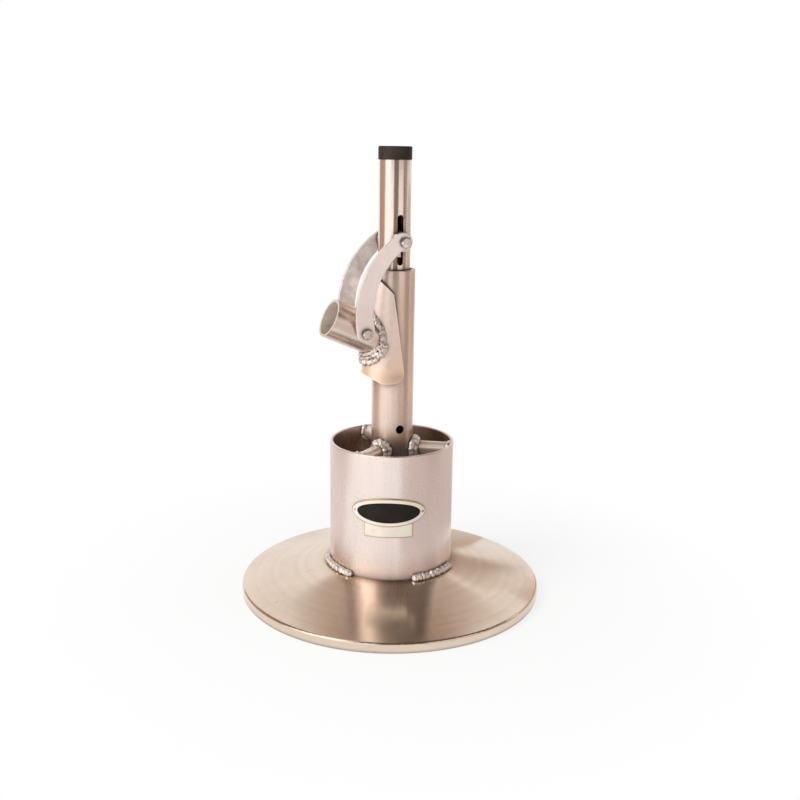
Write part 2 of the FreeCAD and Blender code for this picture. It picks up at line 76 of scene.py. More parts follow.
LINE_FINENESS = 1400.0
LINE_DEPTH = 0.06 * MM
HIGHLIGHT_TURN = 0.25
TURNED_SPREAD = 0.05
ROUGH_SPREAD = 0.15
CLOUD_ROUGHNESS = 0.06
SCRATCH_SHADE = 0.6
# Darkest tone of the shade painted into corners and gaps, as a share of the deep tone.
PAINTED_SHADE_DARKNESS = 0.22
# Painted shade inside the bores: width of its edge and its strength.
BORE_FADE = 0.6 * MM
BORE_SHADE_STRENGTH = 0.85
FADE_STRENGTH = 0.8
FADE_WANDER = 7.0 * MM

# Parts of a noise's or a mask's run that are spread over 0 to 1.
CLOUD_SPAN = (0.35, 0.7)
BAND_SPAN = (0.35, 0.65)
LINE_SPAN = (0.2, 0.8)
SPECK_SPAN = (0.68, 0.78)
CHIP_SPAN = (0.25, 0.6)
RUBBED_AND_HIGHLIT_SPAN = (0.02, 0.22)
STREAK_SPAN = (0.70, 0.76)
RARE_SPAN = (0.45, 0.62)
SHUT_SPAN = (0.0, 0.42)

PAINT_CLOUDS = 60.0
PAINT_RIM = 0.4 * MM
PAINT_GRAIN = 2600.0
PAINT_DEPTH = 0.1 * MM


class Grain(Enum):
    """Direction of the fine lines that a finish leaves in the metal."""

    DRAWN = "drawn along the tube"
    TURNED = "turned round the axis"
    ROLLED = "rolled along the sheet"
    BLASTED = "no direction"


GRAIN_STRETCH = {Grain.DRAWN: (1.0, 1.0, 0.025), Grain.ROLLED: (0.06, 1.0, 0.9),
                 Grain.BLASTED: (1.0, 1.0, 1.0)}


class Body(Enum):
    """Rigid bodies of the object."""

    FRAME = "frame"
    LEVER = "lever"
    PLUNGER = "plunger"
    LINKS = "links"


def add_math(tree: Tree, operation: str, first: Input, second: Input | None = None,
             clamp: bool = False) -> Socket:
    """Add a Math node.

    Args:
        tree: Node tree that receives it.
        operation: Name of the operation.
        first: Socket or number for the first input.
        second: Socket or number for the second input, where there is one.
        clamp: Whether the result stays between 0 and 1.

    Returns:
        The output socket.
    """
    node = tree.nodes.new("ShaderNodeMath")
    node.operation = operation
    node.use_clamp = clamp
    for socket, value in zip(node.inputs, (first, second)):
        if isinstance(value, (int, float)):
            socket.default_value = value
        elif value is not None:
            tree.links.new(value, socket)
    return node.outputs[0]


def add_product(tree: Tree, first: Input, second: Input) -> Socket:
    """Add a Math node that multiplies."""
    return add_math(tree, "MULTIPLY", first, second)


def add_length(tree: Tree, first: Socket, second: Socket) -> Socket:
    """Add the nodes for the length whose two square components are given."""
    squares = [add_product(tree, side, side) for side in (first, second)]
    return add_math(tree, "SQRT", add_math(tree, "ADD", *squares))


def add_mix(tree: Tree, factor: Input, first: Socket | Colour,
            second: Socket | Colour) -> Socket:
    """Add a colour Mix node.

    Args:
        tree: Node tree that receives it.
        factor: Share of the second colour.
        first: Socket or colour shown at 0.
        second: Socket or colour shown at 1.

    Returns:
        The colour output.
    """
    node = tree.nodes.new("ShaderNodeMix")
    node.data_type = "RGBA"
    for name, value in (("Factor", factor), ("A", first), ("B", second)):
        socket = [s for s in node.inputs if s.name == name and s.enabled][0]
        if isinstance(value, tuple):
            socket.default_value = (*value, 1.0)
        else:
            tree.links.new(value, socket)
    return [s for s in node.outputs if s.enabled][0]


def add_noise(tree: Tree, vector: Socket, scale: float, detail: float = 3.0,
              roughness: float = 0.55) -> Socket:
    """Add a Noise Texture and return its Factor output."""
    node = tree.nodes.new("ShaderNodeTexNoise")
    node.inputs["Scale"].default_value = scale
    node.inputs["Detail"].default_value = detail
    node.inputs["Roughness"].default_value = roughness
    tree.links.new(vector, node.inputs["Vector"])
    return node.outputs["Fac"]


def add_range(tree: Tree, value: Socket, low: float, high: float, to_low: float = 0.0,
              to_high: float = 1.0) -> Socket:
    """Add a clamped Map Range node and return its output."""
    node = tree.nodes.new("ShaderNodeMapRange")
    for name, number in (("From Min", low), ("From Max", high), ("To Min", to_low),
                         ("To Max", to_high)):
        node.inputs[name].default_value = number
    tree.links.new(value, node.inputs["Value"])
    return node.outputs["Result"]


def add_place(tree: Tree) -> Socket:
    """Add a Texture Coordinate node and return its Object output."""
    return tree.nodes.new("ShaderNodeTexCoord").outputs["Object"]


def split_place(tree: Tree) -> tuple[Socket, Socket, Socket]:
    """Return the three Object coordinates as sockets of their own."""
    node = tree.nodes.new("ShaderNodeSeparateXYZ")
    tree.links.new(add_place(tree), node.inputs[0])
    return tuple(node.outputs)


def add_scaled(tree: Tree, vector: Socket, factor: Socket) -> Socket:
    """Multiply a vector by a number that comes from a socket."""
    node = tree.nodes.new("ShaderNodeVectorMath")
    node.operation = "SCALE"
    tree.links.new(vector, node.inputs[0])
    tree.links.new(factor, node.inputs["Scale"])
    return node.outputs[0]


def add_bump(tree: Tree, shader: Node, height: Socket, strength: float,
             distance: float) -> None:
    """Feed a shader's Normal from a Bump node."""
    bump = tree.nodes.new("ShaderNodeBump")
    bump.inputs["Strength"].default_value = strength
    bump.inputs["Distance"].default_value = distance
    tree.links.new(height, bump.inputs["Height"])
    tree.links.new(bump.outputs[0], shader.inputs["Normal"])


def add_group(tree: Tree, group: Tree, **values: float) -> Node:
    """Place a shared node group.

    Args:
        tree: Node tree that receives it.
        group: The group.
        values: Inputs that differ from the group's own values.

    Returns:
        The node.
    """
    node = tree.nodes.new("ShaderNodeGroup")
    node.node_tree = group
    for name, value in values.items():
        node.inputs[name].default_value = value
    return node


def add_glow(tree: Tree, colour: Colour, strength: float) -> Socket:
    """Add an Emission shader and return its output."""
    glow = tree.nodes.new("ShaderNodeEmission")
    glow.inputs["Color"].default_value = (*colour, 1.0)
    glow.inputs["Strength"].default_value = strength
    return glow.outputs[0]


def start_material(name: str) -> tuple[bpy.types.Material, Tree, Node]:
    """Start a material and return it with its tree and its Principled BSDF."""
    material = bpy.data.materials.new(name)
    material.use_nodes = True
    return material, material.node_tree, material.node_tree.nodes["Principled BSDF"]


class GroupLibrary:
    """Shader node groups for the effects that several finishes share."""

    def __init__(self) -> None:
        """Build the groups once."""
        self.brush = self._brush_lines()
        self.edge_marks = self._rubbed_and_highlit_edges()
        self.patina = self._patina()
        self.heat = self._heat_tint()
        self.crevice = self._crevices()
        self.scratch = self._scratches()

    def _start(self, name: str, inputs: dict[str, float | None],
               *outputs: str) -> tuple[Tree, Node, Node]:
        """Start a group with named sockets.

        Args:
            name: Name of the group.
            inputs: Value of each input; None makes it a vector.
            outputs: Names of the outputs; "Tint" is a colour and the rest are numbers.

        Returns:
            The tree and its input and output nodes.
        """
        tree = bpy.data.node_groups.new(name, "ShaderNodeTree")
        for label, value in inputs.items():
            kind = "NodeSocketVector" if value is None else "NodeSocketFloat"
            socket = tree.interface.new_socket(label, in_out="INPUT", socket_type=kind)
            if value is not None:
                socket.default_value = value
        for label in outputs:
            kind = "NodeSocketColor" if label == "Tint" else "NodeSocketFloat"
            tree.interface.new_socket(label, in_out="OUTPUT", socket_type=kind)
        return tree, tree.nodes.new("NodeGroupInput"), tree.nodes.new("NodeGroupOutput")

    def _brush_lines(self) -> Tree:
        """Fine scratches: noise read from a stretched vector at two scales."""
        tree, source, sink = self._start("brush_lines", {"Vector": None, "Fineness": 900.0},
                                         "Lines", "Bands")
        place = add_scaled(tree, source.outputs["Vector"], source.outputs["Fineness"])
        fine = add_noise(tree, place, 1.0, detail=2.0, roughness=0.6)
        broad = add_noise(tree, place, 0.13, detail=2.0, roughness=0.5)
        tree.links.new(fine, sink.inputs["Lines"])
        tree.links.new(broad, sink.inputs["Bands"])
        return tree

    def _rubbed_and_highlit_edges(self) -> Tree:
        """Mask of the corners painted bright: rubbed wear, and on the metal a painted highlight
        along the edges.
        """
        tree, source, sink = self._start("rubbed_and_highlit_edges", {"Radius": 0.8 * MM, "Breakup": 260.0},
                                         "Edge")
        bevel = tree.nodes.new("ShaderNodeBevel")
        bevel.samples = 4
        tree.links.new(source.outputs["Radius"], bevel.inputs["Radius"])
        geometry = tree.nodes.new("ShaderNodeNewGeometry")
        dot = tree.nodes.new("ShaderNodeVectorMath")
        dot.operation = "DOT_PRODUCT"
        tree.links.new(bevel.outputs[0], dot.inputs[0])
        tree.links.new(geometry.outputs["Normal"], dot.inputs[1])
        turn = add_math(tree, "SUBTRACT", 1.0, dot.outputs["Value"])
        place = add_scaled(tree, add_place(tree), source.outputs["Breakup"])
        chips = add_range(tree, add_noise(tree, place, 1.0), *CHIP_SPAN, to_low=0.45)
        edge = add_range(tree, turn, *RUBBED_AND_HIGHLIT_SPAN)
        tree.links.new(add_product(tree, edge, chips), sink.inputs["Edge"])
        return tree

    def _patina(self) -> Tree:
        """Soft handling marks: cloudy tone and small specks."""
        tree, source, sink = self._start("patina", {"Scale": 22.0}, "Cloud", "Specks")
        place = add_scaled(tree, add_place(tree), source.outputs["Scale"])
        cloud = add_noise(tree, place, 1.0, detail=4.0, roughness=0.6)
        speck = add_noise(tree, place, 26.0, detail=1.0, roughness=0.5)
        tree.links.new(cloud, sink.inputs["Cloud"])
        tree.links.new(add_range(tree, speck, *SPECK_SPAN), sink.inputs["Specks"])
        return tree

    def _scratches(self) -> Tree:
        """Mask of a few thin scratches that cross each other."""
        tree, source, sink = self._start("scratches", {"Fineness": 1.0}, "Mask")
        place = add_scaled(tree, add_place(tree), source.outputs["Fineness"])
        layers = []
        for turn in ((0.3, 0.2, 0.7), (-0.5, 0.9, -1.0)):
            stretch = tree.nodes.new("ShaderNodeMapping")
            stretch.inputs["Rotation"].default_value = turn
            stretch.inputs["Scale"].default_value = (16.0, 520.0, 520.0)
            tree.links.new(place, stretch.inputs["Vector"])
            streaks = add_noise(tree, stretch.outputs[0], 1.0, detail=1.0, roughness=0.4)
            layers.append(add_range(tree, streaks, *STREAK_SPAN))
        both = add_math(tree, "MAXIMUM", *layers)
        rare = add_range(tree, add_noise(tree, place, 34.0, detail=2.0), *RARE_SPAN)
        tree.links.new(add_product(tree, both, rare), sink.inputs["Mask"])
        return tree

    def _crevices(self) -> Tree:
        """Mask of the shade painted into corners and gaps, from ambient occlusion."""
        tree, source, sink = self._start("crevices", {"Reach": 4.0 * MM, "Start": 0.92}, "Mask")
        shut = tree.nodes.new("ShaderNodeAmbientOcclusion")
        shut.samples = 8
        tree.links.new(source.outputs["Reach"], shut.inputs["Distance"])
        depth = add_math(tree, "SUBTRACT", source.outputs["Start"], shut.outputs["AO"])
        tree.links.new(add_range(tree, depth, *SHUT_SPAN), sink.inputs["Mask"])
        return tree

    def _heat_tint(self) -> Tree:
        """Straw and bronze colours that welding leaves, from the distance to the bead."""
        tree, source, sink = self._start("heat_tint", {"Distance": 0.0, "Reach": 12.0 * MM},
                                         "Tint", "Mask")
        share = add_math(tree, "DIVIDE", source.outputs["Distance"],
                         source.outputs["Reach"], True)
        ramp = tree.nodes.new("ShaderNodeValToRGB")
        stops = ramp.color_ramp.elements
        stops[0].color = (0.30, 0.27, 0.28, 1.0)
        stops[1].color = (0.80, 0.68, 0.52, 1.0)
        for place, colour in ((0.28, (0.42, 0.28, 0.22, 1.0)), (0.6, (0.74, 0.52, 0.30, 1.0))):
            stops.new(place).color = colour
        tree.links.new(share, ramp.inputs["Fac"])
        tree.links.new(ramp.outputs["Color"], sink.inputs["Tint"])
        tree.links.new(add_range(tree, share, 0.15, 1.0, 1.0, 0.0), sink.inputs["Mask"])
        return tree


@dataclass(frozen=True)
class HeatRing:
    """A weld near a surface, given as a ring round the upright axis.

    Attributes:
        radius: Radius of the ring.
        height: Height of the ring.
        reach: How far the colours spread.
        strength: How strongly they show.
    """

    radius: float
    height: float
    reach: float
    strength: float

    def tint(self, tree: Tree, groups: GroupLibrary, colour: Socket) -> Socket:
        """Lay the heat colours of the weld over a colour."""
        east, north, height = split_place(tree)
        across = add_math(tree, "SUBTRACT", add_length(tree, east, north), self.radius)
        along = add_math(tree, "SUBTRACT", height, self.height)
        heat = add_group(tree, groups.heat, Reach=self.reach)
        tree.links.new(add_length(tree, across, along), heat.inputs["Distance"])
        mask = add_product(tree, heat.outputs["Mask"], self.strength)
        return add_mix(tree, mask, colour, heat.outputs["Tint"])


@dataclass(frozen=True)
class MetalFinish:
    """A bare metal surface.

    Attributes:
        name: Name of the material.
        colour: Base colour.
        deep: Darker tone that the clouds and lines lead to.
        roughness: Mean roughness.
        grain: Direction of the fine lines.
        lines: Strength of the lines in the bump.
        tone: Share of the darker tone that the clouds bring.
        edge: Brightness that worn edges gain, as wear and as a painted highlight.
        anisotropy: Stretch of the highlights.
        metallic: Share of mirror-like metal; the rest scatters as a dull, blasted skin does.
        heat: Welds that tint the surface.
        painted_shade: Strength of the shade painted into corners and gaps.
        reach: How far from a corner that painted shade starts.
        rim: Width of the rubbed edge that carries the painted highlight.
        bore: Radius from the upright axis inside which the painted shade of the bore begins.
        bore_shade_colour: Colour of the shade painted inside that bore.
        scratch: Strength of the scratches.
        fade: Heights between which the metal turns, downwards, to the second colour.
        fade_colour: Colour at the lower of these heights.
        calm: Place (x, z) and radius of a flush joint that shows neither painted shade nor the
            worn, painted-highlight edge.
    """

    name: str
    colour: Colour
    deep: Colour
    roughness: float
    grain: Grain = Grain.DRAWN
    lines: float = 0.25
    tone: float = 0.25
    edge: float = 0.35
    anisotropy: float = 0.0
    metallic: float = 0.9
    heat: tuple[HeatRing, ...] = ()
    painted_shade: float = 0.75
    reach: float = 4.0 * MM
    rim: float = 0.7 * MM
    bore: float = 0.0
    bore_shade_colour: Colour = (0.34, 0.26, 0.21)
    scratch: float = 0.3
    fade: tuple[float, float] | None = None
    fade_colour: Colour = (0.90, 0.66, 0.50)
    calm: tuple[float, float, float] | None = None

    def grain_vector(self, tree: Tree) -> Socket:
        """Build the vector that stretches the noise along the grain."""
        if self.grain is Grain.TURNED:
            east, north, height = split_place(tree)
            joined = tree.nodes.new("ShaderNodeCombineXYZ")
            tree.links.new(add_length(tree, east, north), joined.inputs["X"])
            tree.links.new(height, joined.inputs["Z"])
            return joined.outputs[0]
        stretch = tree.nodes.new("ShaderNodeMapping")
        stretch.inputs["Scale"].default_value = GRAIN_STRETCH[self.grain]
        tree.links.new(add_place(tree), stretch.inputs["Vector"])
        return stretch.outputs[0]

    def build(self, groups: GroupLibrary) -> bpy.types.Material:
        """Make the material.

        Args:
            groups: Shared node groups.

        Returns:
            The finished material.
        """
        material, tree, shader = start_material(self.name)
        shader.inputs["Metallic"].default_value = self.metallic
        shader.inputs["Anisotropic"].default_value = self.anisotropy
        shader.inputs["Anisotropic Rotation"].default_value = HIGHLIGHT_TURN
        brush = add_group(tree, groups.brush, Fineness=LINE_FINENESS)
        tree.links.new(self.grain_vector(tree), brush.inputs["Vector"])
        lines = brush.outputs["Lines"]
        patina = add_group(tree, groups.patina)
        cloud = add_range(tree, patina.outputs["Cloud"], *CLOUD_SPAN)
        colour = self._metal_tone(tree, brush, patina, cloud)
        for ring in self.heat:
            colour = ring.tint(tree, groups, colour)
        # Painted shade on the walls inside the bore.
        if self.bore > 0.0:
            colour = add_mix(tree, self._bore_shade_mask(tree), colour, self.bore_shade_colour)
        tree.links.new(self._marked(tree, groups, colour), shader.inputs["Base Color"])
        spread = TURNED_SPREAD if self.grain is Grain.TURNED else ROUGH_SPREAD
        rough = add_range(tree, lines, *LINE_SPAN, self.roughness * (1.0 - spread),
                          self.roughness * (1.0 + spread))
        rough = add_math(tree, "ADD", rough, add_product(tree, cloud, CLOUD_ROUGHNESS))
        tree.links.new(rough, shader.inputs["Roughness"])
        add_bump(tree, shader, lines, self.lines, LINE_DEPTH)
        return material

    def _metal_tone(self, tree: Tree, brush: Node, patina: Node, cloud: Socket) -> Socket:
        """Mix the metal's two tones by lines, clouds and specks, and fade it downwards."""
        bands = add_range(tree, brush.outputs["Bands"], *BAND_SPAN)
        shade = add_product(tree, add_math(tree, "ADD", cloud, bands), self.tone * 0.5)
        colour = add_mix(tree, shade, self.colour, self.deep)
        specks = add_product(tree, patina.outputs["Specks"], self.tone * 0.5)
        colour = add_mix(tree, specks, colour, self.deep)
        if self.fade is None:
            return colour
        wander = add_range(tree, patina.outputs["Cloud"], 0.3, 0.7, -FADE_WANDER, FADE_WANDER)
        height = add_math(tree, "ADD", split_place(tree)[2], wander)
        return add_mix(tree, add_range(tree, height, *self.fade, FADE_STRENGTH, 0.0), colour,
                       self.fade_colour)

    def _marked(self, tree: Tree, groups: GroupLibrary, colour: Socket) -> Socket:
        """Lay rubbed edges with their painted highlight, scratches and the painted shade of the
        corners over a colour.
        """
        edge_marks = add_group(tree, groups.edge_marks, Radius=self.rim)
        crevice = add_group(tree, groups.crevice, Reach=self.reach)
        # Edges painted bright, as rubbed wear and as a painted highlight.
        wear_and_highlight = add_product(tree, edge_marks.outputs["Edge"], self.edge)
        # Painted shade in corners and gaps, from ambient occlusion.
        painted_shade = add_product(tree, crevice.outputs["Mask"], self.painted_shade)
        if self.calm is not None:
            away = self._calm_mask(tree)
            wear_and_highlight, painted_shade = add_product(tree, wear_and_highlight, away), add_product(tree, painted_shade, away)
        bright = tuple(min(1.0, c + self.edge * 0.5) for c in self.colour)
        colour = add_mix(tree, wear_and_highlight, colour, bright)
        marks = add_group(tree, groups.scratch)
        colour = add_mix(tree, add_product(tree, marks.outputs["Mask"], self.scratch), colour,
                         tuple(c * SCRATCH_SHADE for c in self.deep))
        return add_mix(tree, painted_shade, colour, tuple(c * PAINTED_SHADE_DARKNESS for c in self.deep))

    def _calm_mask(self, tree: Tree) -> Socket:
        """Mask that is 0 round the flush joint and 1 away from it."""
        east, _, height = split_place(tree)
        across = add_math(tree, "SUBTRACT", east, self.calm[0])
        above = add_math(tree, "SUBTRACT", height, self.calm[1])
        return add_range(tree, add_length(tree, across, above), self.calm[2] * 0.8,
                         self.calm[2])

    def _bore_shade_mask(self, tree: Tree) -> Socket:
        """Mask of the painted shade: 1 on walls nearer to the upright axis than the bore's
        radius.
        """
        east, north, _ = split_place(tree)
        return add_range(tree, add_length(tree, east, north), self.bore,
                         self.bore + BORE_FADE, BORE_SHADE_STRENGTH, 0.0)


@dataclass(frozen=True)
class PaintFinish:
    """A painted, enamelled or moulded surface.

    Attributes:
        name: Name of the material.
        colour: Base colour.
        edge_marks: Colour that shows at rubbed corners.
        roughness: Mean roughness.
        texture: Height of the fine texture, as bump strength.
        sheen: Level of the mirror-like part of the surface.
    """

    name: str
    colour: Colour
    edge_marks: Colour
    roughness: float
    texture: float
    sheen: float = 0.5

    def build(self, groups: GroupLibrary) -> bpy.types.Material:
        """Make the material.

        Args:
            groups: Shared node groups.

        Returns:
            The finished material.
        """
        material, tree, shader = start_material(self.name)
        shader.inputs["Specular IOR Level"].default_value = self.sheen
        patina = add_group(tree, groups.patina, Scale=PAINT_CLOUDS)
        edge_marks = add_group(tree, groups.edge_marks, Radius=PAINT_RIM)
        lighter = tuple(min(1.0, c * 1.25 + 0.01) for c in self.colour)
        cloud = add_range(tree, patina.outputs["Cloud"], 0.3, 0.75)
        colour = add_mix(tree, cloud, self.colour, lighter)
        colour = add_mix(tree, add_product(tree, edge_marks.outputs["Edge"], 0.5), colour, self.edge_marks)
        tree.links.new(colour, shader.inputs["Base Color"])
        rough = add_math(tree, "ADD", add_product(tree, cloud, 0.12), self.roughness - 0.05)
        tree.links.new(rough, shader.inputs["Roughness"])
        add_bump(tree, shader, add_noise(tree, add_place(tree), PAINT_GRAIN, 2.0),
                 self.texture, PAINT_DEPTH)
        return material


class Finishes:
    """Every finish of the object, built once."""

    def __init__(self, groups: GroupLibrary, seat: float, mould: float, rim: float) -> None:
        """Build the materials.

        Args:
            groups: Shared node groups.
            seat: Height of the mould's foot.
            mould: Outer radius of the mould.
            rim: Height of the mould's upper edge.
        """
        foot = HeatRing(mould + 2.0 * MM, seat + 1.0 * MM, 11.0 * MM, 0.55)
        column_weld = HeatRing(19.0 * MM, rim - 6.0 * MM, 24.0 * MM, 0.80)
        heel = HeatRing(20.5 * MM, 207.0 * MM, 12.0 * MM, 0.40)
        shoe = MetalFinish(
            "lever_shoe", (0.96, 0.81, 0.725), (0.76, 0.57, 0.47), 0.36, Grain.BLASTED,
            lines=0.35, tone=0.50, edge=0.90, metallic=0.52, heat=(heel,), painted_shade=0.8,
            reach=5.0 * MM, rim=1.7 * MM, scratch=0.5, fade=(0.208, 0.250),
            fade_colour=(0.95, 0.69, 0.52), calm=(-0.011, 0.219, 7.5 * MM))
        table = {
            "dish": MetalFinish(
                "spun_dish", (0.82, 0.67, 0.555), (0.55, 0.415, 0.315), 0.16, Grain.TURNED,
                lines=0.04, tone=0.36, edge=0.30, anisotropy=0.75, metallic=0.97,
                heat=(foot,)),
            "mould": MetalFinish(
                "mould_tube", (0.88, 0.765, 0.72), (0.70, 0.575, 0.52), 0.26, lines=0.07,
                tone=0.24, edge=0.25, anisotropy=0.3, metallic=0.88, heat=(foot,), painted_shade=0.6,
                bore=mould - 2.2 * MM, bore_shade_colour=(0.44, 0.31, 0.25)),
            # Its painted shade reaches far, as the shadow that the links and the shoe cast on
            # it.
            "column": MetalFinish(
                "column_tube", (0.84, 0.675, 0.585), (0.54, 0.39, 0.30), 0.27, tone=0.42,
                anisotropy=0.3, metallic=0.82, heat=(column_weld,), painted_shade=0.95,
                reach=18.0 * MM, bore=17.2 * MM),
            # Its painted shade stands for the shadow that the links cast on it.
            "guide": MetalFinish(
                "guide_tube", (0.92, 0.82, 0.76), (0.62, 0.44, 0.34), 0.16, lines=0.10,
                tone=0.22, edge=0.20, anisotropy=0.3, metallic=0.95, painted_shade=0.9,
                reach=10.0 * MM, rim=0.6 * MM, bore=13.2 * MM, bore_shade_colour=(0.10, 0.07, 0.055)),
            "arm": MetalFinish(
                "round_arm", (0.95, 0.86, 0.80), (0.66, 0.52, 0.44), 0.30, Grain.BLASTED,
                tone=0.35, edge=0.30, metallic=0.75, heat=(column_weld,)),
            "shoe": shoe,
            "pin": replace(shoe, name="pivot_pin", edge=0.0, heat=(), painted_shade=0.0, calm=None),
            "socket": MetalFinish(
                "socket_tube", (0.86, 0.73, 0.65), (0.54, 0.41, 0.33), 0.27, Grain.ROLLED,
                lines=0.18, tone=0.34, edge=0.60, metallic=0.92, painted_shade=0.6),
            # A lighter, more diffuse copy of the socket steel, as painted light for the light
            # that falls into the mouth; it turns darker towards the bottom.
            "socket_bore": MetalFinish(
                "socket_bore", (1.0, 0.91, 0.84), (0.72, 0.58, 0.47), 0.30, Grain.ROLLED,
                lines=0.30, tone=0.55, edge=0.30, metallic=0.40, painted_shade=0.2,
                fade=(0.240, 0.256), fade_colour=(0.34, 0.26, 0.13)),
            "link": MetalFinish(
                "link_plate", (0.98, 0.90, 0.87), (0.80, 0.69, 0.64), 0.30, Grain.BLASTED,
                lines=0.35, tone=0.45, edge=0.90, metallic=0.62, painted_shade=0.7, rim=1.0 * MM,
                scratch=0.4, fade=(0.240, 0.305), fade_colour=(0.90, 0.78, 0.73)),
            # A separate copy of the link steel for the rear link, greyer and more mottled,
            # tuned to the lower light between the links: painted light and shade.
            "rear_link": MetalFinish(
                "rear_link_plate", (0.96, 0.94, 0.93), (0.52, 0.47, 0.45), 0.36,
                Grain.BLASTED, lines=0.50, tone=0.80, edge=0.80, metallic=0.58, painted_shade=0.7,
                rim=1.0 * MM),
            "weld": MetalFinish(
                "weld_bead", (0.95, 0.87, 0.82), (0.56, 0.44, 0.37), 0.32, Grain.BLASTED,
                lines=0.50, tone=0.60, edge=0.40, metallic=0.66, painted_shade=0.8, reach=1.6 * MM),
            "bolt": MetalFinish(
                "bolt_steel", (0.86, 0.79, 0.74), (0.16, 0.12, 0.10), 0.14, Grain.BLASTED,
                lines=1.0, tone=0.70, edge=0.95, metallic=0.96, painted_shade=1.0, reach=3.0 * MM,
                rim=0.6 * MM),
            "rod": MetalFinish("rod_steel", (0.74, 0.66, 0.59), (0.50, 0.42, 0.35), 0.26,
                               lines=0.20),
            "plate": MetalFinish("plunger_plate", (0.70, 0.62, 0.55), (0.48, 0.40, 0.33),
                                 0.34, Grain.TURNED, tone=0.35),
            "bronze": MetalFinish("bushing_bronze", (0.66, 0.47, 0.26), (0.36, 0.24, 0.13),
                                  0.34, Grain.TURNED, tone=0.35, edge=0.30),
            "copper": MetalFinish("badge_border", (0.74, 0.46, 0.26), (0.46, 0.26, 0.14), 0.34,
                                  Grain.BLASTED, lines=0.20, tone=0.30, edge=0.30),
            "cap": PaintFinish("cap_plastic", (0.030, 0.018, 0.010), (0.16, 0.12, 0.09),
                               0.55, 0.6, 0.25),
            "field": PaintFinish("badge_field", (0.012, 0.009, 0.007), (0.20, 0.16, 0.12),
                                 0.45, 0.2, 0.12),
            "cream": PaintFinish("badge_cream", (0.84, 0.755, 0.655), (0.50, 0.34, 0.22),
                                 0.5, 0.2),
        }
        self._made = {key: finish.build(groups) for key, finish in table.items()}

    def __getitem__(self, key: str) -> bpy.types.Material:
        """Return one material by its short name."""
        return self._made[key]


def heading(degrees: float) -> Vector:
    """Level unit vector at an angle round the upright axis."""
    angle = math.radians(degrees)
    return Vector((math.cos(angle), math.sin(angle), 0.0))


def link_mesh(work: Work, name: str) -> Piece:
    """Write a bmesh into a new object at the origin, and free it."""
    mesh = bpy.data.meshes.new(name)
    work.to_mesh(mesh)
    work.free()
    piece = bpy.data.objects.new(name, mesh)
    bpy.context.scene.collection.objects.link(piece)
    return piece


def keep_corners(mesh: bpy.types.Mesh, degrees: float) -> None:
    """Shade a mesh smooth but keep every edge that turns more than an angle sharp."""
    work = bmesh.new()
    work.from_mesh(mesh)
    limit = math.radians(degrees)
    for face in work.faces:
        face.smooth = True
    for edge in work.edges:
        turns = len(edge.link_faces) == 2 and edge.calc_face_angle(0.0) > limit
        edge.smooth = not (turns or len(edge.link_faces) != 2)
    work.to_mesh(mesh)
    work.free()


def to_object(work: Work, name: str) -> Piece:
    """Turn a bmesh into an object with its faces outwards and its corners sharp."""
    bmesh.ops.recalc_face_normals(work, faces=work.faces)
    piece = link_mesh(work, name)
    keep_corners(piece.data, SHARP_NEW)
    return piece


def join_pieces(pieces: list[Piece], name: str) -> Piece:
    """Join meshes into one piece.

    Args:
        pieces: Objects at the origin; they are removed.
        name: Name of the joined piece.

    Returns:
        The joined piece.
    """
    work = bmesh.new()
    for piece in pieces:
        work.from_mesh(piece.data)
        bpy.data.objects.remove(piece)
    return link_mesh(work, name)


def settle(piece: Piece, body: Body, material: bpy.types.Material, slot: str,
           *nodes: str) -> None:
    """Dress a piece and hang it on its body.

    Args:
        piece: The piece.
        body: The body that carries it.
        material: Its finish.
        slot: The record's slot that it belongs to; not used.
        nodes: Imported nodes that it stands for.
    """
    piece.data.materials.append(material)
    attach(piece, body.value)
    if nodes:
        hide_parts(*nodes)
    LOG.info("piece %s on %s", piece.name, body.value)


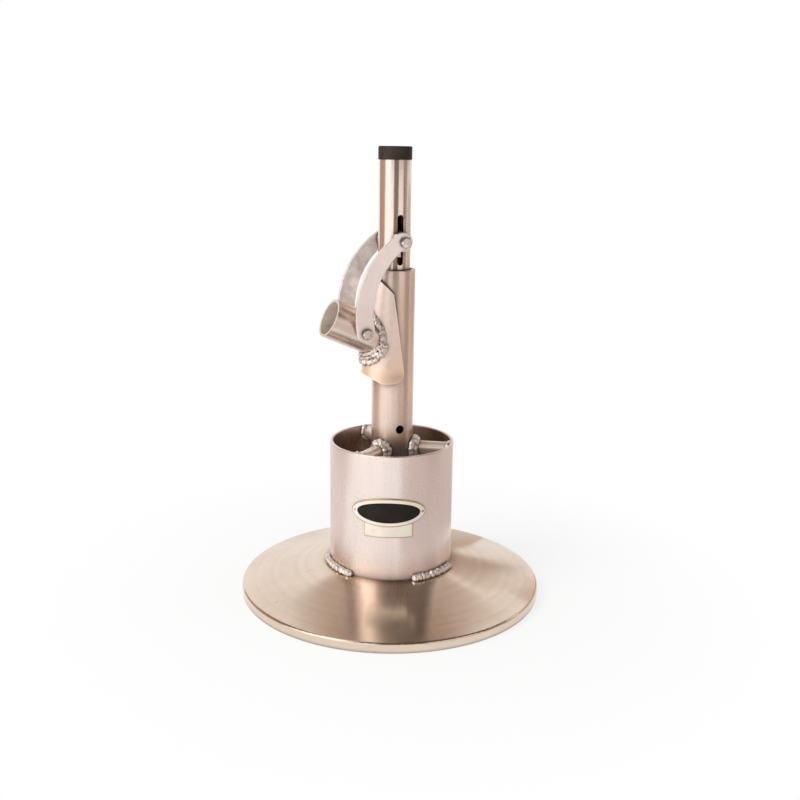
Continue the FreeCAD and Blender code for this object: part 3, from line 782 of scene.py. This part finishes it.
@dataclass(frozen=True)
class PackedPart:
    """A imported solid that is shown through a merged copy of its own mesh.

    Attributes:
        node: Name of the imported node.
        body: Body that carries it.
        finish: Short name of its finish.
        slot: The record's slot.
        bevel: Width of the softened edges; 0 leaves them as they are.
        flush: Place (x, z) and radius of a hole across the part whose rim stays crisp.
        bore: Start, direction and radius of a bore that has its own finish.
    """

    node: str
    body: Body
    finish: str
    slot: str
    bevel: float = 0.25 * MM
    flush: tuple[float, float, float] | None = None
    bore: tuple[Vector, Vector, float] | None = None

    def line_bore(self, work: Work) -> None:
        """Give the faces inside the bore the second material slot."""
        start, along, radius = self.bore
        for face in work.faces:
            gap = face.calc_center_median() - start
            if (gap - along * gap.dot(along)).length < radius:
                face.material_index = 1

    def is_flush(self, edge: bmesh.types.BMEdge) -> bool:
        """Tell whether an edge lies on the rim that stays crisp."""
        if self.flush is None:
            return False
        middle = (edge.verts[0].co + edge.verts[1].co) / 2.0
        x, z, radius = self.flush
        return math.hypot(middle.x - x, middle.z - z) < radius

    def soft_edges(self, piece: Piece) -> None:
        """Soften every sharp edge with a live bevel, except round the flush hole."""
        piece.data.attributes.new("bevel_weight_edge", "FLOAT", "EDGE")
        work = bmesh.new()
        work.from_mesh(piece.data)
        weight = work.edges.layers.float["bevel_weight_edge"]
        limit = math.radians(SOFTENED)
        for edge in work.edges:
            sharp = len(edge.link_faces) == 2 and edge.calc_face_angle(0.0) >= limit
            edge[weight] = 1.0 if sharp and not self.is_flush(edge) else 0.0
        work.to_mesh(piece.data)
        work.free()
        soft = piece.modifiers.new("soft_edges", "BEVEL")
        soft.width = self.bevel
        soft.segments = 2
        soft.limit_method = "WEIGHT"
        soft.harden_normals = False

    def dress(self, nodes: dict[str, Piece], finishes: Finishes) -> None:
        """Copy, merge, shade and dress the part.

        Args:
            nodes: Packed objects by name.
            finishes: The materials.
        """
        work = bmesh.new()
        work.from_mesh(nodes[self.node].data)
        bmesh.ops.remove_doubles(work, verts=work.verts, dist=MERGE_DISTANCE)
        bmesh.ops.dissolve_degenerate(work, dist=SLIVER, edges=work.edges)
        for face in work.faces:
            face.material_index = 0
        if self.bore is not None:
            self.line_bore(work)
        piece = link_mesh(work, self.node + "_skin")
        keep_corners(piece.data, SHARP_PACKED)
        if self.bevel > 0.0:
            self.soft_edges(piece)
        even = piece.modifiers.new("even_shading", "WEIGHTED_NORMAL")
        even.keep_sharp = True
        settle(piece, self.body, finishes[self.finish], self.slot, self.node)
        if self.bore is not None:
            piece.data.materials.append(finishes[self.finish + "_bore"])


RIPPLE_POWER = 0.6       # lower is flatter on top, with narrower gaps
SWELL_GRAIN = 420.0      # swellings of a bead, as noise per metre
LUMP_GRAIN = (330.0, 900.0)
FINE_LUMPS = 0.45        # share of the finer lumps
END_SHARE = 0.05         # part of an open bead over which each end thins
END_SIZE = 0.35          # size of an open bead at its very end
STITCH_POINTS = 150
ARM_WELD_POINTS = 120
SOCKET_WELD_POINTS = 220
HALVINGS = 40            # steps in the search for the shoe's surface


@dataclass(frozen=True)
class WeldBead:
    """A bead of weld metal laid along a path in overlapping ripples.

    Attributes:
        name: Name of the piece.
        radius: Mean radius of the bead.
        pitch: Distance between ripples.
        lump: Share by which the bead swells and shrinks.
        seed: Offset of the unevenness.
        sides: Faces round the bead.
        ripple: Share by which the bead grows on every ripple.
        spatter: Depth of the irregular lumps that cover the bead.
    """

    name: str
    radius: float
    pitch: float
    lump: float
    seed: float
    sides: int
    ripple: float
    spatter: float

    def size(self, travelled: float) -> float:
        """Radius of the bead at a distance along its path."""
        crest = abs(math.sin(math.pi * (travelled / self.pitch))) ** RIPPLE_POWER
        uneven = noise.noise(Vector((travelled * SWELL_GRAIN, self.seed, 0.0)))
        return self.radius * (1.02 + self.ripple * (crest - 1.0) + self.lump * uneven)

    def roughen(self, work: Work) -> None:
        """Cover the bead with irregular lumps of two sizes."""
        bmesh.ops.recalc_face_normals(work, faces=work.faces)
        work.normal_update()
        coarse, fine = LUMP_GRAIN
        shifts = [vertex.normal * self.spatter * (
            noise.noise(vertex.co * coarse) + FINE_LUMPS * noise.noise(vertex.co * fine))
            for vertex in work.verts]
        for vertex, shift in zip(work.verts, shifts):
            vertex.co += shift

    def build(self, path: list[Vector], lift: list[Vector], closed: bool) -> Piece:
        """Lay rings along the path and bridge them.

        Args:
            path: Points along the bead.
            lift: Direction out of the corner at each point.
            closed: Whether the bead runs round to its start.

        Returns:
            The bead, not yet dressed.
        """
        work = bmesh.new()
        rings = []
        count = len(path)
        travelled = 0.0
        for index in range(count):
            before = path[(index - 1) % count] if closed or index else path[index]
            after = path[(index + 1) % count] if closed or index < count - 1 else path[index]
            along = (after - before).normalized()
            out = (lift[index] - along * lift[index].dot(along)).normalized()
            size = self.size(travelled)
            if not closed:
                end = min(index, count - 1 - index) / max(1.0, count * END_SHARE)
                size *= max(END_SIZE, min(1.0, end) ** 0.5)
            lean = Matrix((along.cross(out), out, along)).transposed().to_4x4()
            ring = bmesh.ops.create_circle(work, cap_ends=False, segments=self.sides,
                                           radius=size,
                                           matrix=Matrix.Translation(path[index]) @ lean)
            rings.append(ring["verts"])
            travelled += (after - path[index]).length
        pairs = list(zip(rings, rings[1:]))
        if closed:
            pairs.append((rings[-1], rings[0]))
        for pair in pairs:
            edges = {edge for ring in pair for vertex in ring for edge in vertex.link_edges
                     if all(end in ring for end in edge.verts)}
            bmesh.ops.bridge_loops(work, edges=list(edges))
        if not closed:
            bmesh.ops.holes_fill(work, edges=work.edges, sides=0)
        self.roughen(work)
        piece = to_object(work, self.name)
        for face in piece.data.polygons:
            face.use_smooth = True
        return piece


PLATE_CORNER = 1.2       # radians: a plate's edges that turn further are its outline


@dataclass(frozen=True)
class Plate:
    """A thin plate of the badge.

    Attributes:
        name: Name of the piece.
        finish: Short name of its finish.
        width: Full width.
        height: Full height.
        thick: Thickness.
        stand_off: Gap between its back and the mould.
        corner: Radius of its corners; 0 makes it an oval.
        drop: How far its middle hangs below the badge's middle.
    """

    name: str
    finish: str
    width: float
    height: float
    thick: float
    stand_off: float
    corner: float = 0.0
    drop: float = 0.0

    def round_off(self, u: float, v: float) -> tuple[float, float]:
        """Move a point of the square from -1 to 1 to its place on the plate."""
        x, z = u * self.width / 2.0, v * self.height / 2.0
        if self.corner == 0.0:
            return (u * math.sqrt(1.0 - v * v / 2.0) * self.width / 2.0,
                    v * math.sqrt(1.0 - u * u / 2.0) * self.height / 2.0)
        inner_x, inner_z = self.width / 2.0 - self.corner, self.height / 2.0 - self.corner
        over = Vector((max(0.0, abs(x) - inner_x), max(0.0, abs(z) - inner_z)))
        if over.x > 0.0 and over.y > 0.0:
            over = over * (max(over.x, over.y) / over.length)
            x = math.copysign(inner_x + over.x, x)
            z = math.copysign(inner_z + over.y, z)
        return x, z

    def build(self) -> Piece:
        """Make the flat plate, facing -Y, with a softened front edge."""
        work = bmesh.new()
        columns, rows = (48, 16) if self.corner else (72, 30)
        bmesh.ops.create_grid(work, x_segments=columns, y_segments=rows, size=1.0)
        for vertex in work.verts:
            x, z = self.round_off(vertex.co.x, vertex.co.y)
            vertex.co = Vector((x, 0.0, z))
        grown = bmesh.ops.extrude_face_region(work, geom=list(work.faces))
        front = [item for item in grown["geom"] if isinstance(item, bmesh.types.BMVert)]
        bmesh.ops.translate(work, verts=front, vec=Vector((0.0, -self.thick, 0.0)))
        bmesh.ops.recalc_face_normals(work, faces=work.faces)
        edges = [edge for edge in work.edges if len(edge.link_faces) == 2
                 and edge.calc_face_angle(0.0) > PLATE_CORNER
                 and all(vertex.co.y < -self.thick * 0.5 for vertex in edge.verts)]
        bmesh.ops.bevel(work, geom=edges, offset=self.thick * 0.4, segments=2, profile=0.5,
                        affect="EDGES", material=-1)
        piece = to_object(work, self.name)
        for vertex in piece.data.vertices:
            vertex.co.z -= self.drop
        return piece


@dataclass(frozen=True)
class WeldedFrame:
    """Base, mould, column, guide tube, arms, welds and the bare badge.

    Attributes:
        seat: Height of the mould's foot.
        mould_radius: Outer radius of the mould.
        mould_bore: Inner radius of the mould.
        rim: Height of the mould's upper edge.
        column_radius: Outer radius of the column.
        arm_radius: Radius of the arms.
        arm_height: Height of the arms' axis.
        arm_angles: Directions of the arms, in degrees.
        stitch_angles: Middles of the stitch welds, in degrees.
        stitch_span: Length of a stitch, in degrees.
        badge_angle: Direction that the badge faces, in degrees.
        badge_height: Height of the badge's middle.
        plates: Plates of the badge, from the mould outwards.
        stud_radius: Radius of the badge's studs.
        stud_side: Distance of a stud from the badge's middle.
    """

    seat: float = 28.4 * MM
    mould_radius: float = 57.15 * MM
    mould_bore: float = 54.15 * MM
    rim: float = 144.4 * MM
    column_radius: float = 19.05 * MM
    arm_radius: float = 6.0 * MM
    arm_height: float = 138.4 * MM
    arm_angles: tuple[float, ...] = (-31.0, 93.0, 216.0)
    stitch_angles: tuple[float, ...] = (-174.0, -68.0, 58.0)
    stitch_span: float = 50.0
    badge_angle: float = -114.8
    badge_height: float = 92.8 * MM
    plates: tuple[Plate, ...] = (
        Plate("badge_tab_border", "copper", 44.6 * MM, 13.6 * MM, 0.4 * MM, 0.05 * MM,
              1.4 * MM, 16.6 * MM),
        Plate("badge_tab", "cream", 43.2 * MM, 12.2 * MM, 0.3 * MM, 0.35 * MM, 1.0 * MM,
              16.6 * MM),
        Plate("badge_border", "copper", 69.0 * MM, 26.4 * MM, 0.9 * MM, 0.05 * MM),
        Plate("badge_band", "cream", 66.8 * MM, 24.4 * MM, 0.2 * MM, 1.0 * MM),
        Plate("badge_field", "field", 57.4 * MM, 18.8 * MM, 0.2 * MM, 1.2 * MM))
    stud_radius: float = 0.0011
    stud_side: float = 0.0312

    def parts(self) -> list[PackedPart]:
        """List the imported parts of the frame."""
        table = (("base_dish", "dish", "base_steel", 0.4 * MM),
                 ("mould_cylinder", "mould", "mould_steel", 0.0),
                 ("column_tube", "column", "column_steel", 0.25 * MM),
                 ("guide_tube", "guide", "guide_steel", 0.25 * MM),
                 ("end_cap", "cap", "cap_plastic", 0.25 * MM),
                 ("upper_bushing", "bronze", "bushing_bronze", 0.25 * MM),
                 ("rod_bushing", "bronze", "bushing_bronze", 0.25 * MM),
                 ("arm_right", "arm", "column_steel", 0.0),
                 ("arm_rear", "arm", "column_steel", 0.0),
                 ("arm_left", "arm", "column_steel", 0.0),
                 ("pivot_pin", "pin", "lever_steel", 0.0))
        return [PackedPart(node, Body.FRAME, *rest) for node, *rest in table]

    def foot_stitches(self, finishes: Finishes) -> None:
        """Lay the stitch welds round the mould's foot."""
        beads = []
        for number, middle in enumerate(self.stitch_angles):
            path, lift = [], []
            for step in range(STITCH_POINTS + 1):
                out = heading(middle + self.stitch_span * (step / STITCH_POINTS - 0.5))
                wander = noise.noise(Vector((step * 0.11, number * 3.1, 0.4))) * 0.4 * MM
                spot = out * (self.mould_radius + 1.7 * MM + wander)
                path.append(spot + UP * (self.seat + 1.2 * MM + wander))
                lift.append(out + UP)
            bead = WeldBead(f"foot_bead_{number + 1}", radius=3.5 * MM, pitch=3.0 * MM,
                            lump=0.26, seed=number * 7.3, sides=14, ripple=0.26,
                            spatter=0.6 * MM)
            beads.append(bead.build(path, lift, False))
        settle(join_pieces(beads, "foot_beads"), Body.FRAME, finishes["weld"], "weld_metal",
               "foot_welds")

    def arm_bead(self, number: int, layer: int, outer: bool, wall: float, size: float,
                 gap: float) -> Piece:
        """Lay one ring of weld round an arm.

        Args:
            number: Number of the arm.
            layer: Number of the ring.
            outer: Whether it joins the arm to the mould, and not to the column.
            wall: Radius of the wall that the arm meets.
            size: Radius of the bead.
            gap: Distance of the bead's middle from the arm's surface.

        Returns:
            The bead, not yet dressed.
        """
        out = heading(self.arm_angles[number])
        side = Vector((-out.y, out.x, 0.0))
        path, lift = [], []
        for step in range(ARM_WELD_POINTS):
            turn = 2.0 * math.pi * step / ARM_WELD_POINTS
            spin = Vector((math.cos(turn) * 1.3, math.sin(turn) * 1.3, number * 4.0 + layer))
            across = (self.arm_radius + gap) * math.cos(turn)
            level = self.arm_height + (self.arm_radius + gap) * math.sin(turn)
            depth = math.sqrt(wall * wall - across * across) + noise.noise(spin) * 1.2 * MM
            depth += -1.0 * MM if outer else 1.0 * MM
            if outer:
                level = min(level, self.rim - 1.4 * MM)
            path.append(out * depth + side * across + UP * level)
            lift.append(side * math.cos(turn) + UP * math.sin(turn)
                        + out * (-1.0 if outer else 1.0))
        bead = WeldBead(f"arm_bead_{number}_{layer}", radius=size, pitch=3.4 * MM, lump=0.35,
                        seed=number * 5.0 + layer, sides=16, ripple=0.08, spatter=1.0 * MM)
        return bead.build(path, lift, True)

    def arm_beads(self, finishes: Finishes) -> None:
        """Lay the beads at both ends of every arm."""
        layers = ((False, self.column_radius, 3.6 * MM, 1.2 * MM),
                  (False, self.column_radius + 3.4 * MM, 2.6 * MM, 0.5 * MM),
                  (True, self.mould_bore, 2.1 * MM, 0.4 * MM))
        beads = [self.arm_bead(number, layer, *sizes) for number in range(len(self.arm_angles))
                 for layer, sizes in enumerate(layers)]
        settle(join_pieces(beads, "arm_beads"), Body.FRAME, finishes["weld"], "weld_metal",
               "arm_welds")

    def wrap(self, piece: Piece, stand_off: float) -> None:
        """Bend a flat plate in the XZ plane round the mould, facing the badge's direction."""
        for vertex in piece.data.vertices:
            radius = self.mould_radius + stand_off - vertex.co.y
            angle = math.radians(self.badge_angle) + vertex.co.x / self.mould_radius
            vertex.co = Vector((radius * math.cos(angle), radius * math.sin(angle),
                                self.badge_height + vertex.co.z))

    def badge(self, finishes: Finishes) -> None:
        """Fix the bare plates and the two studs on the mould."""
        for plate in self.plates:
            piece = plate.build()
            self.wrap(piece, plate.stand_off)
            settle(piece, Body.FRAME, finishes[plate.finish], "mould_steel")
        studs = []
        for number, side in enumerate((-self.stud_side, self.stud_side)):
            work = bmesh.new()
            bmesh.ops.create_uvsphere(work, u_segments=20, v_segments=12,
                                      radius=self.stud_radius)
            bmesh.ops.scale(work, vec=Vector((1.0, 0.55, 1.0)), verts=work.verts)
            bmesh.ops.translate(work, verts=work.verts, vec=Vector((side, -0.0001, 0.0)))
            stud = to_object(work, f"badge_stud_{number + 1}")
            self.wrap(stud, self.stud_radius)
            studs.append(stud)
        settle(join_pieces(studs, "badge_studs"), Body.FRAME, finishes["bolt"],
               "fastener_steel")

    def build(self, nodes: dict[str, Piece], finishes: Finishes) -> None:
        """Dress the whole frame."""
        for part in self.parts():
            part.dress(nodes, finishes)
        self.foot_stitches(finishes)
        self.arm_beads(finishes)
        self.badge(finishes)


@dataclass(frozen=True)
class LeverAssembly:
    """Shoe, handle socket, their weld, the bosses and the lower bolt.

    Attributes:
        mouth: Distance behind the column's axis, and height, of the socket's mouth.
        rise: Angle of the socket above level, in degrees.
        socket_radius: Outer radius of the socket.
        shoe_radius: Outer radius of the shoe.
        shoe_tilt: Lean of the shoe, in degrees.
        shoe_datum: Height at which the shoe's axis meets the column's.
        pivot_rim: Place (x, z) of the pivot and radius of the rim that stays crisp.
    """

    mouth: tuple[float, float] = (-60.9 * MM, 261.1 * MM)
    rise: float = 24.0
    socket_radius: float = 17.5 * MM
    shoe_radius: float = 21.4 * MM
    shoe_tilt: float = 5.2
    shoe_datum: float = 296.0 * MM
    pivot_rim: tuple[float, float, float] = (-11.0 * MM, 219.0 * MM, 4.8 * MM)

    def axis(self) -> tuple[Vector, Vector]:
        """Return the middle of the socket's mouth and the direction into it."""
        rise = math.radians(self.rise)
        return (Vector((self.mouth[0], 0.0, self.mouth[1])),
                Vector((math.cos(rise), 0.0, -math.sin(rise))))

    def parts(self) -> list[PackedPart]:
        """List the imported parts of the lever."""
        bore = (*self.axis(), self.socket_radius - 0.9 * MM)
        return [
            PackedPart("lever_shoe", Body.LEVER, "shoe", "lever_steel", 0.6 * MM,
                       self.pivot_rim),
            PackedPart("handle_socket", Body.LEVER, "socket", "lever_steel", 0.3 * MM,
                       bore=bore),
            PackedPart("boss_front", Body.LEVER, "socket", "lever_steel"),
            PackedPart("boss_rear", Body.LEVER, "socket", "lever_steel"),
            PackedPart("link_bolt", Body.LEVER, "bolt", "fastener_steel"),
            PackedPart("link_nut", Body.LEVER, "bolt", "fastener_steel"),
        ]

    def shoe_gap(self, point: Vector) -> float:
        """Distance of a point outside the shoe's round back, negative inside."""
        lean = math.radians(self.shoe_tilt)
        centre = -(self.shoe_datum - point.z) * math.tan(lean)
        across = (point.x - centre) * math.cos(lean)
        if across > 0.0:
            return abs(point.y) - self.shoe_radius
        return math.hypot(across, point.y) - self.shoe_radius

    def meet(self, start: Vector, inward: Vector, aside: Vector) -> float:
        """Distance along a direction to the shoe's round back, on a line set aside."""
        low, high = 10.0 * MM, 60.0 * MM
        for _ in range(HALVINGS):
            middle = (low + high) / 2.0
            if self.shoe_gap(start + inward * middle + aside) > 0.0:
                low = middle
            else:
                high = middle
        return low

    def socket_bead(self, layer: int, radius: float, shift: float, lump: float) -> Piece:
        """Lay one ring of weld round the socket.

        Args:
            layer: Number of the ring, from the shoe outwards.
            radius: Radius of the bead.
            shift: How far the ring hangs below the socket.
            lump: Share by which the bead swells and shrinks.

        Returns:
            The bead, not yet dressed.
        """
        start, inward = self.axis()
        above_socket = Vector((-inward.z, 0.0, inward.x))
        beside = Vector((0.0, 1.0, 0.0))
        path, lift = [], []
        for step in range(SOCKET_WELD_POINTS):
            turn = 2.0 * math.pi * step / SOCKET_WELD_POINTS
            out = above_socket * math.cos(turn) + beside * math.sin(turn)
            below, above = max(0.0, -math.cos(turn)), max(0.0, math.cos(turn))
            reach = self.socket_radius + 0.3 * MM + shift * (below + 0.25 * above)
            wander = noise.noise(Vector((step * 0.13, layer * 9.0, 1.7))) * 0.9 * MM
            depth = self.meet(start, inward, out * reach) - 0.4 * MM + wander
            path.append(start + inward * depth + out * reach)
            lift.append(out - inward)
        bead = WeldBead(f"socket_bead_{layer}", radius=radius, pitch=3.1 * MM, lump=lump,
                        seed=3.3 + layer * 11.0, sides=16, ripple=0.08, spatter=1.3 * MM)
        return bead.build(path, lift, True)

    def build(self, nodes: dict[str, Piece], finishes: Finishes) -> None:
        """Dress the lever and lay the rough weld where the socket meets the shoe."""
        for part in self.parts():
            part.dress(nodes, finishes)
        layers = ((0.0029, 0.0, 0.55 * 0.6), (0.0026, 0.0034, 0.8 * 0.6),
                  (0.0025, 0.0070, 1.0 * 0.6))
        beads = [self.socket_bead(layer, *sizes) for layer, sizes in enumerate(layers)]
        settle(join_pieces(beads, "socket_beads"), Body.LEVER, finishes["weld"], "weld_metal",
               "socket_weld")


@dataclass(frozen=True)
class LinkPair:
    """The two curved links.

    Attributes:
        edge: Width of their softened edges.
    """

    edge: float = 0.4 * MM

    def build(self, nodes: dict[str, Piece], finishes: Finishes) -> None:
        """Dress both links."""
        for name, finish in (("front_link", "link"), ("rear_link", "rear_link")):
            PackedPart(name, Body.LINKS, finish, "link_steel", self.edge).dress(nodes, finishes)


@dataclass(frozen=True)
class Plunger:
    """Crosshead, rod, plate and their fasteners.

    Attributes:
        edge: Width of their softened edges.
        slots: The record's slot for each finish.
        table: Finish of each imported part.
    """

    edge: float = 0.3 * MM
    slots: tuple[tuple[str, str], ...] = (
        ("rod", "plunger_steel"), ("plate", "plunger_steel"), ("bolt", "fastener_steel"))
    table: tuple[tuple[str, str], ...] = (
        ("crosshead_block", "rod"), ("crosshead_bolt", "bolt"), ("crosshead_nut", "bolt"),
        ("spacer_front", "bolt"), ("spacer_rear", "bolt"), ("push_rod", "rod"),
        ("plunger_plate", "plate"), ("plunger_nut_upper", "bolt"),
        ("plunger_nut_lower", "bolt"))

    def build(self, nodes: dict[str, Piece], finishes: Finishes) -> None:
        """Dress every part of the plunger."""
        slots = dict(self.slots)
        for name, finish in self.table:
            part = PackedPart(name, Body.PLUNGER, finish, slots[finish], self.edge)
            part.dress(nodes, finishes)


@dataclass(frozen=True)
class Card:
    """A curved card that stands or lies round the object and that only the metal mirrors.

    Attributes:
        name: Name of the card.
        start: Bearing of its left end, in degrees right of the camera.
        end: Bearing of its right end.
        tone: Colour that the metal mirrors.
        low: Height of its lower edge.
        high: Height of its upper edge.
        reach: Distance of its lower edge from the axis.
        head: Distance of its upper edge from the axis.
        strength: Brightness of that colour.
    """

    name: str
    start: float
    end: float
    tone: Colour
    low: float
    high: float
    reach: float = 0.62
    head: float = 0.62
    strength: float = 1.0


@dataclass(frozen=True)
class Lamp:
    """A soft square lamp that points at the middle of the object.

    Attributes:
        name: Name of the lamp.
        bearing: Direction seen from the object, in degrees right of the camera.
        reach: Level distance from the axis.
        height: Height above the floor.
        size: Side of the square.
        power: Power in watts.
        colour: Colour of the light.
    """

    name: str
    bearing: float
    reach: float
    height: float
    size: float
    power: float
    colour: Colour


@dataclass(frozen=True)
class Studio:
    """Camera, lamps, pale floor and the cards that the metal mirrors.

    Attributes:
        azimuth: Direction of the camera round the object, in degrees.
        distance: Level distance of the camera from the axis.
        height: Height of the camera.
        offset: Sideways shift of the camera.
        pitch: Downward tilt, in radians.
        roll: Turn about the line of sight, in radians.
        focal: Focal length in pixels.
        frame_side: Side of the picture in pixels.
        sensor: Side of the camera's sensor, in millimetres.
        aim: Height that the lamps point at.
        lamps: The lamps.
        cards: Cards that shape what the metal mirrors.
    """

    azimuth: float = 23.0
    distance: float = 0.89364
    height: float = 0.40324
    offset: float = 0.00708
    pitch: float = 0.2428
    roll: float = -0.0141
    focal: float = 1001.2
    frame_side: float = 800.0
    sensor: float = 36.0
    aim: float = 0.20
    lamps: tuple[Lamp, ...] = (
        Lamp("key_lamp", -55.0, 1.7, 1.3, 1.0, 26.0, (1.0, 0.985, 0.96)),
        Lamp("fill_lamp", 104.0, 1.8, 1.0, 1.2, 4.0, (1.0, 0.96, 0.92)))
    cards: tuple[Card, ...] = (
        Card("card_side", -128.0, -72.0, (0.46, 0.28, 0.19), 0.0, 0.42),
        Card("card_window", -70.0, -9.0, (1.0, 0.98, 0.97), 0.0, 1.2, strength=1.2),
        Card("card_front", -7.0, 27.0, (0.22, 0.15, 0.11), 0.13, 0.40),
        Card("card_hood", -30.0, 124.0, (0.04, 0.026, 0.018), 0.40, 1.3),
        Card("card_hood_left", -138.0, -66.0, (0.12, 0.08, 0.055), 0.43, 1.3),
        Card("card_back", 150.0, 210.0, (0.50, 0.40, 0.33), 0.50, 1.1),
        Card("card_roof", 120.0, 240.0, (0.12, 0.08, 0.06), 1.10, 1.12, 0.62, 0.04),
        Card("card_roof_front", -60.0, 119.0, (0.12, 0.08, 0.06), 1.10, 1.12, 0.62, 0.04),
        Card("card_ground", 17.0, 150.0, (0.63, 0.55, 0.52), 0.0004, 0.0004, 0.19, 0.60),
        Card("card_ground_left", -160.0, -84.0, (0.82, 0.76, 0.74), 0.0004, 0.0004, 0.16,
             0.60),
        Card("card_pale_low", 29.0, 60.0, (0.66, 0.55, 0.50), 0.0, 0.165),
        Card("card_pale", 29.0, 60.0, (1.05, 0.95, 0.90), 0.165, 0.39),
        Card("card_right", 62.0, 96.0, (0.40, 0.29, 0.225), 0.0, 0.39),
        Card("card_far_low", 100.0, 147.0, (0.78, 0.66, 0.58), 0.0, 0.10),
        Card("card_far", 100.0, 147.0, (0.60, 0.47, 0.40), 0.10, 0.36),
        Card("card_back_low", 164.0, 181.0, (0.60, 0.48, 0.39), 0.0, 0.30),
        Card("card_back_right", 153.0, 164.0, (0.50, 0.40, 0.33), 0.17, 0.44))

    def toward(self, bearing: float) -> Vector:
        """Level unit vector at a bearing, in degrees right of the camera."""
        return heading(bearing - 90.0 - self.azimuth)

    def camera(self) -> None:
        """Place the camera."""
        turn = Matrix.Rotation(-math.radians(self.azimuth), 3, "Z")
        level = Vector((0.0, math.cos(self.pitch), -math.sin(self.pitch)))
        right = Vector((1.0, 0.0, 0.0))
        up = Vector((0.0, math.sin(self.pitch), math.cos(self.pitch)))
        across = right * math.cos(self.roll) - up * math.sin(self.roll)
        above = right * math.sin(self.roll) + up * math.cos(self.roll)
        axes = Matrix((turn @ across, turn @ above, turn @ (level * -1.0))).transposed()
        lens = bpy.data.cameras.new("camera")
        lens.sensor_width = self.sensor
        lens.lens = self.focal / self.frame_side * self.sensor
        lens.clip_start = 0.01
        lens.clip_end = 20.0
        eye = bpy.data.objects.new("camera", lens)
        spot = turn @ Vector((self.offset, -self.distance, self.height))
        eye.matrix_world = Matrix.Translation(spot) @ axes.to_4x4()
        bpy.context.scene.collection.objects.link(eye)
        bpy.context.scene.camera = eye

    def hang(self, lamp: Lamp) -> None:
        """Hang a lamp and point it at the middle of the object."""
        light = bpy.data.lights.new(lamp.name, "AREA")
        light.shape = "SQUARE"
        light.size = lamp.size
        light.energy = lamp.power
        light.color = lamp.colour
        piece = bpy.data.objects.new(lamp.name, light)
        spot = self.toward(lamp.bearing) * lamp.reach + UP * lamp.height
        lean = (UP * self.aim - spot).to_track_quat("-Z", "Y").to_matrix().to_4x4()
        piece.matrix_world = Matrix.Translation(spot) @ lean
        bpy.context.scene.collection.objects.link(piece)

    def stand(self, card: Card) -> None:
        """Stand a curved card round the object."""
        start = self.toward(card.start)
        work = bmesh.new()
        foot = work.verts.new(start * card.reach + UP * card.low)
        head = work.verts.new(start * card.head + UP * card.high)
        rail = work.edges.new((foot, head))
        bmesh.ops.spin(work, geom=[foot, head, rail], cent=(0.0, 0.0, 0.0), axis=UP,
                       angle=math.radians(card.end - card.start), steps=12, use_merge=False,
                       use_normal_flip=False, use_duplicate=False)
        piece = to_object(work, card.name)
        material, tree, _ = start_material(card.name)
        tree.links.new(add_glow(tree, card.tone, card.strength),
                       tree.nodes["Material Output"].inputs["Surface"])
        piece.data.materials.append(material)
        piece.visible_camera = False
        piece.visible_shadow = False
        piece.visible_diffuse = False

    def floor(self) -> None:
        """Lay the white floor, which keeps the soft shadow near the object."""
        work = bmesh.new()
        bmesh.ops.create_circle(work, cap_ends=True, segments=96, radius=8.0)
        bmesh.ops.translate(work, verts=work.verts, vec=UP * -0.2 * MM)
        piece = to_object(work, "floor")
        material, tree, shader = start_material("floor")
        shader.inputs["Base Color"].default_value = (0.92, 0.92, 0.92, 1.0)
        shader.inputs["Roughness"].default_value = 0.9
        shader.inputs["Specular IOR Level"].default_value = 0.0
        path = tree.nodes.new("ShaderNodeLightPath")
        seen = add_math(tree, "ADD", path.outputs["Is Camera Ray"],
                        path.outputs["Is Glossy Ray"], True)
        reach = tree.nodes.new("ShaderNodeVectorMath")
        reach.operation = "LENGTH"
        tree.links.new(add_place(tree), reach.inputs[0])
        share = add_range(tree, reach.outputs["Value"], 0.15, 0.36, 0.78, 1.0)
        mix = tree.nodes.new("ShaderNodeMixShader")
        tree.links.new(add_product(tree, seen, share), mix.inputs[0])
        tree.links.new(shader.outputs[0], mix.inputs[1])
        tree.links.new(add_glow(tree, (1.0, 1.0, 1.0), 1.0), mix.inputs[2])
        tree.links.new(mix.outputs[0], tree.nodes["Material Output"].inputs["Surface"])
        piece.data.materials.append(material)

    def world(self) -> None:
        """Set a white surround that lights the object less than it shows."""
        world = bpy.data.worlds.new("surround")
        bpy.context.scene.world = world
        world.use_nodes = True
        tree = world.node_tree
        back = tree.nodes["Background"]
        path = tree.nodes.new("ShaderNodeLightPath")
        seen = add_math(tree, "ADD", path.outputs["Is Camera Ray"],
                        path.outputs["Is Transmission Ray"], True)
        seen = add_math(tree, "ADD", seen, path.outputs["Is Glossy Ray"], True)
        tree.links.new(add_range(tree, seen, 0.0, 1.0, 0.55, 1.0), back.inputs["Strength"])
        back.inputs["Color"].default_value = (1.0, 1.0, 1.0, 1.0)

    def build(self) -> None:
        """Set up the whole studio."""
        bpy.context.scene.view_settings.view_transform = "Standard"
        self.camera()
        self.world()
        self.floor()
        for lamp in self.lamps:
            self.hang(lamp)
        for card in self.cards:
            self.stand(card)


def main() -> None:
    logging.basicConfig(level=logging.INFO, format="%(name)s: %(message)s")
    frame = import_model()
    nodes = frame["nodes"]
    base = WeldedFrame()
    finishes = Finishes(GroupLibrary(), base.seat, base.mould_radius, base.rim)
    for assembly in (base, LeverAssembly(), LinkPair(), Plunger()):
        assembly.build(nodes, finishes)
    Studio().build()


if __name__ == "__main__":
    main()
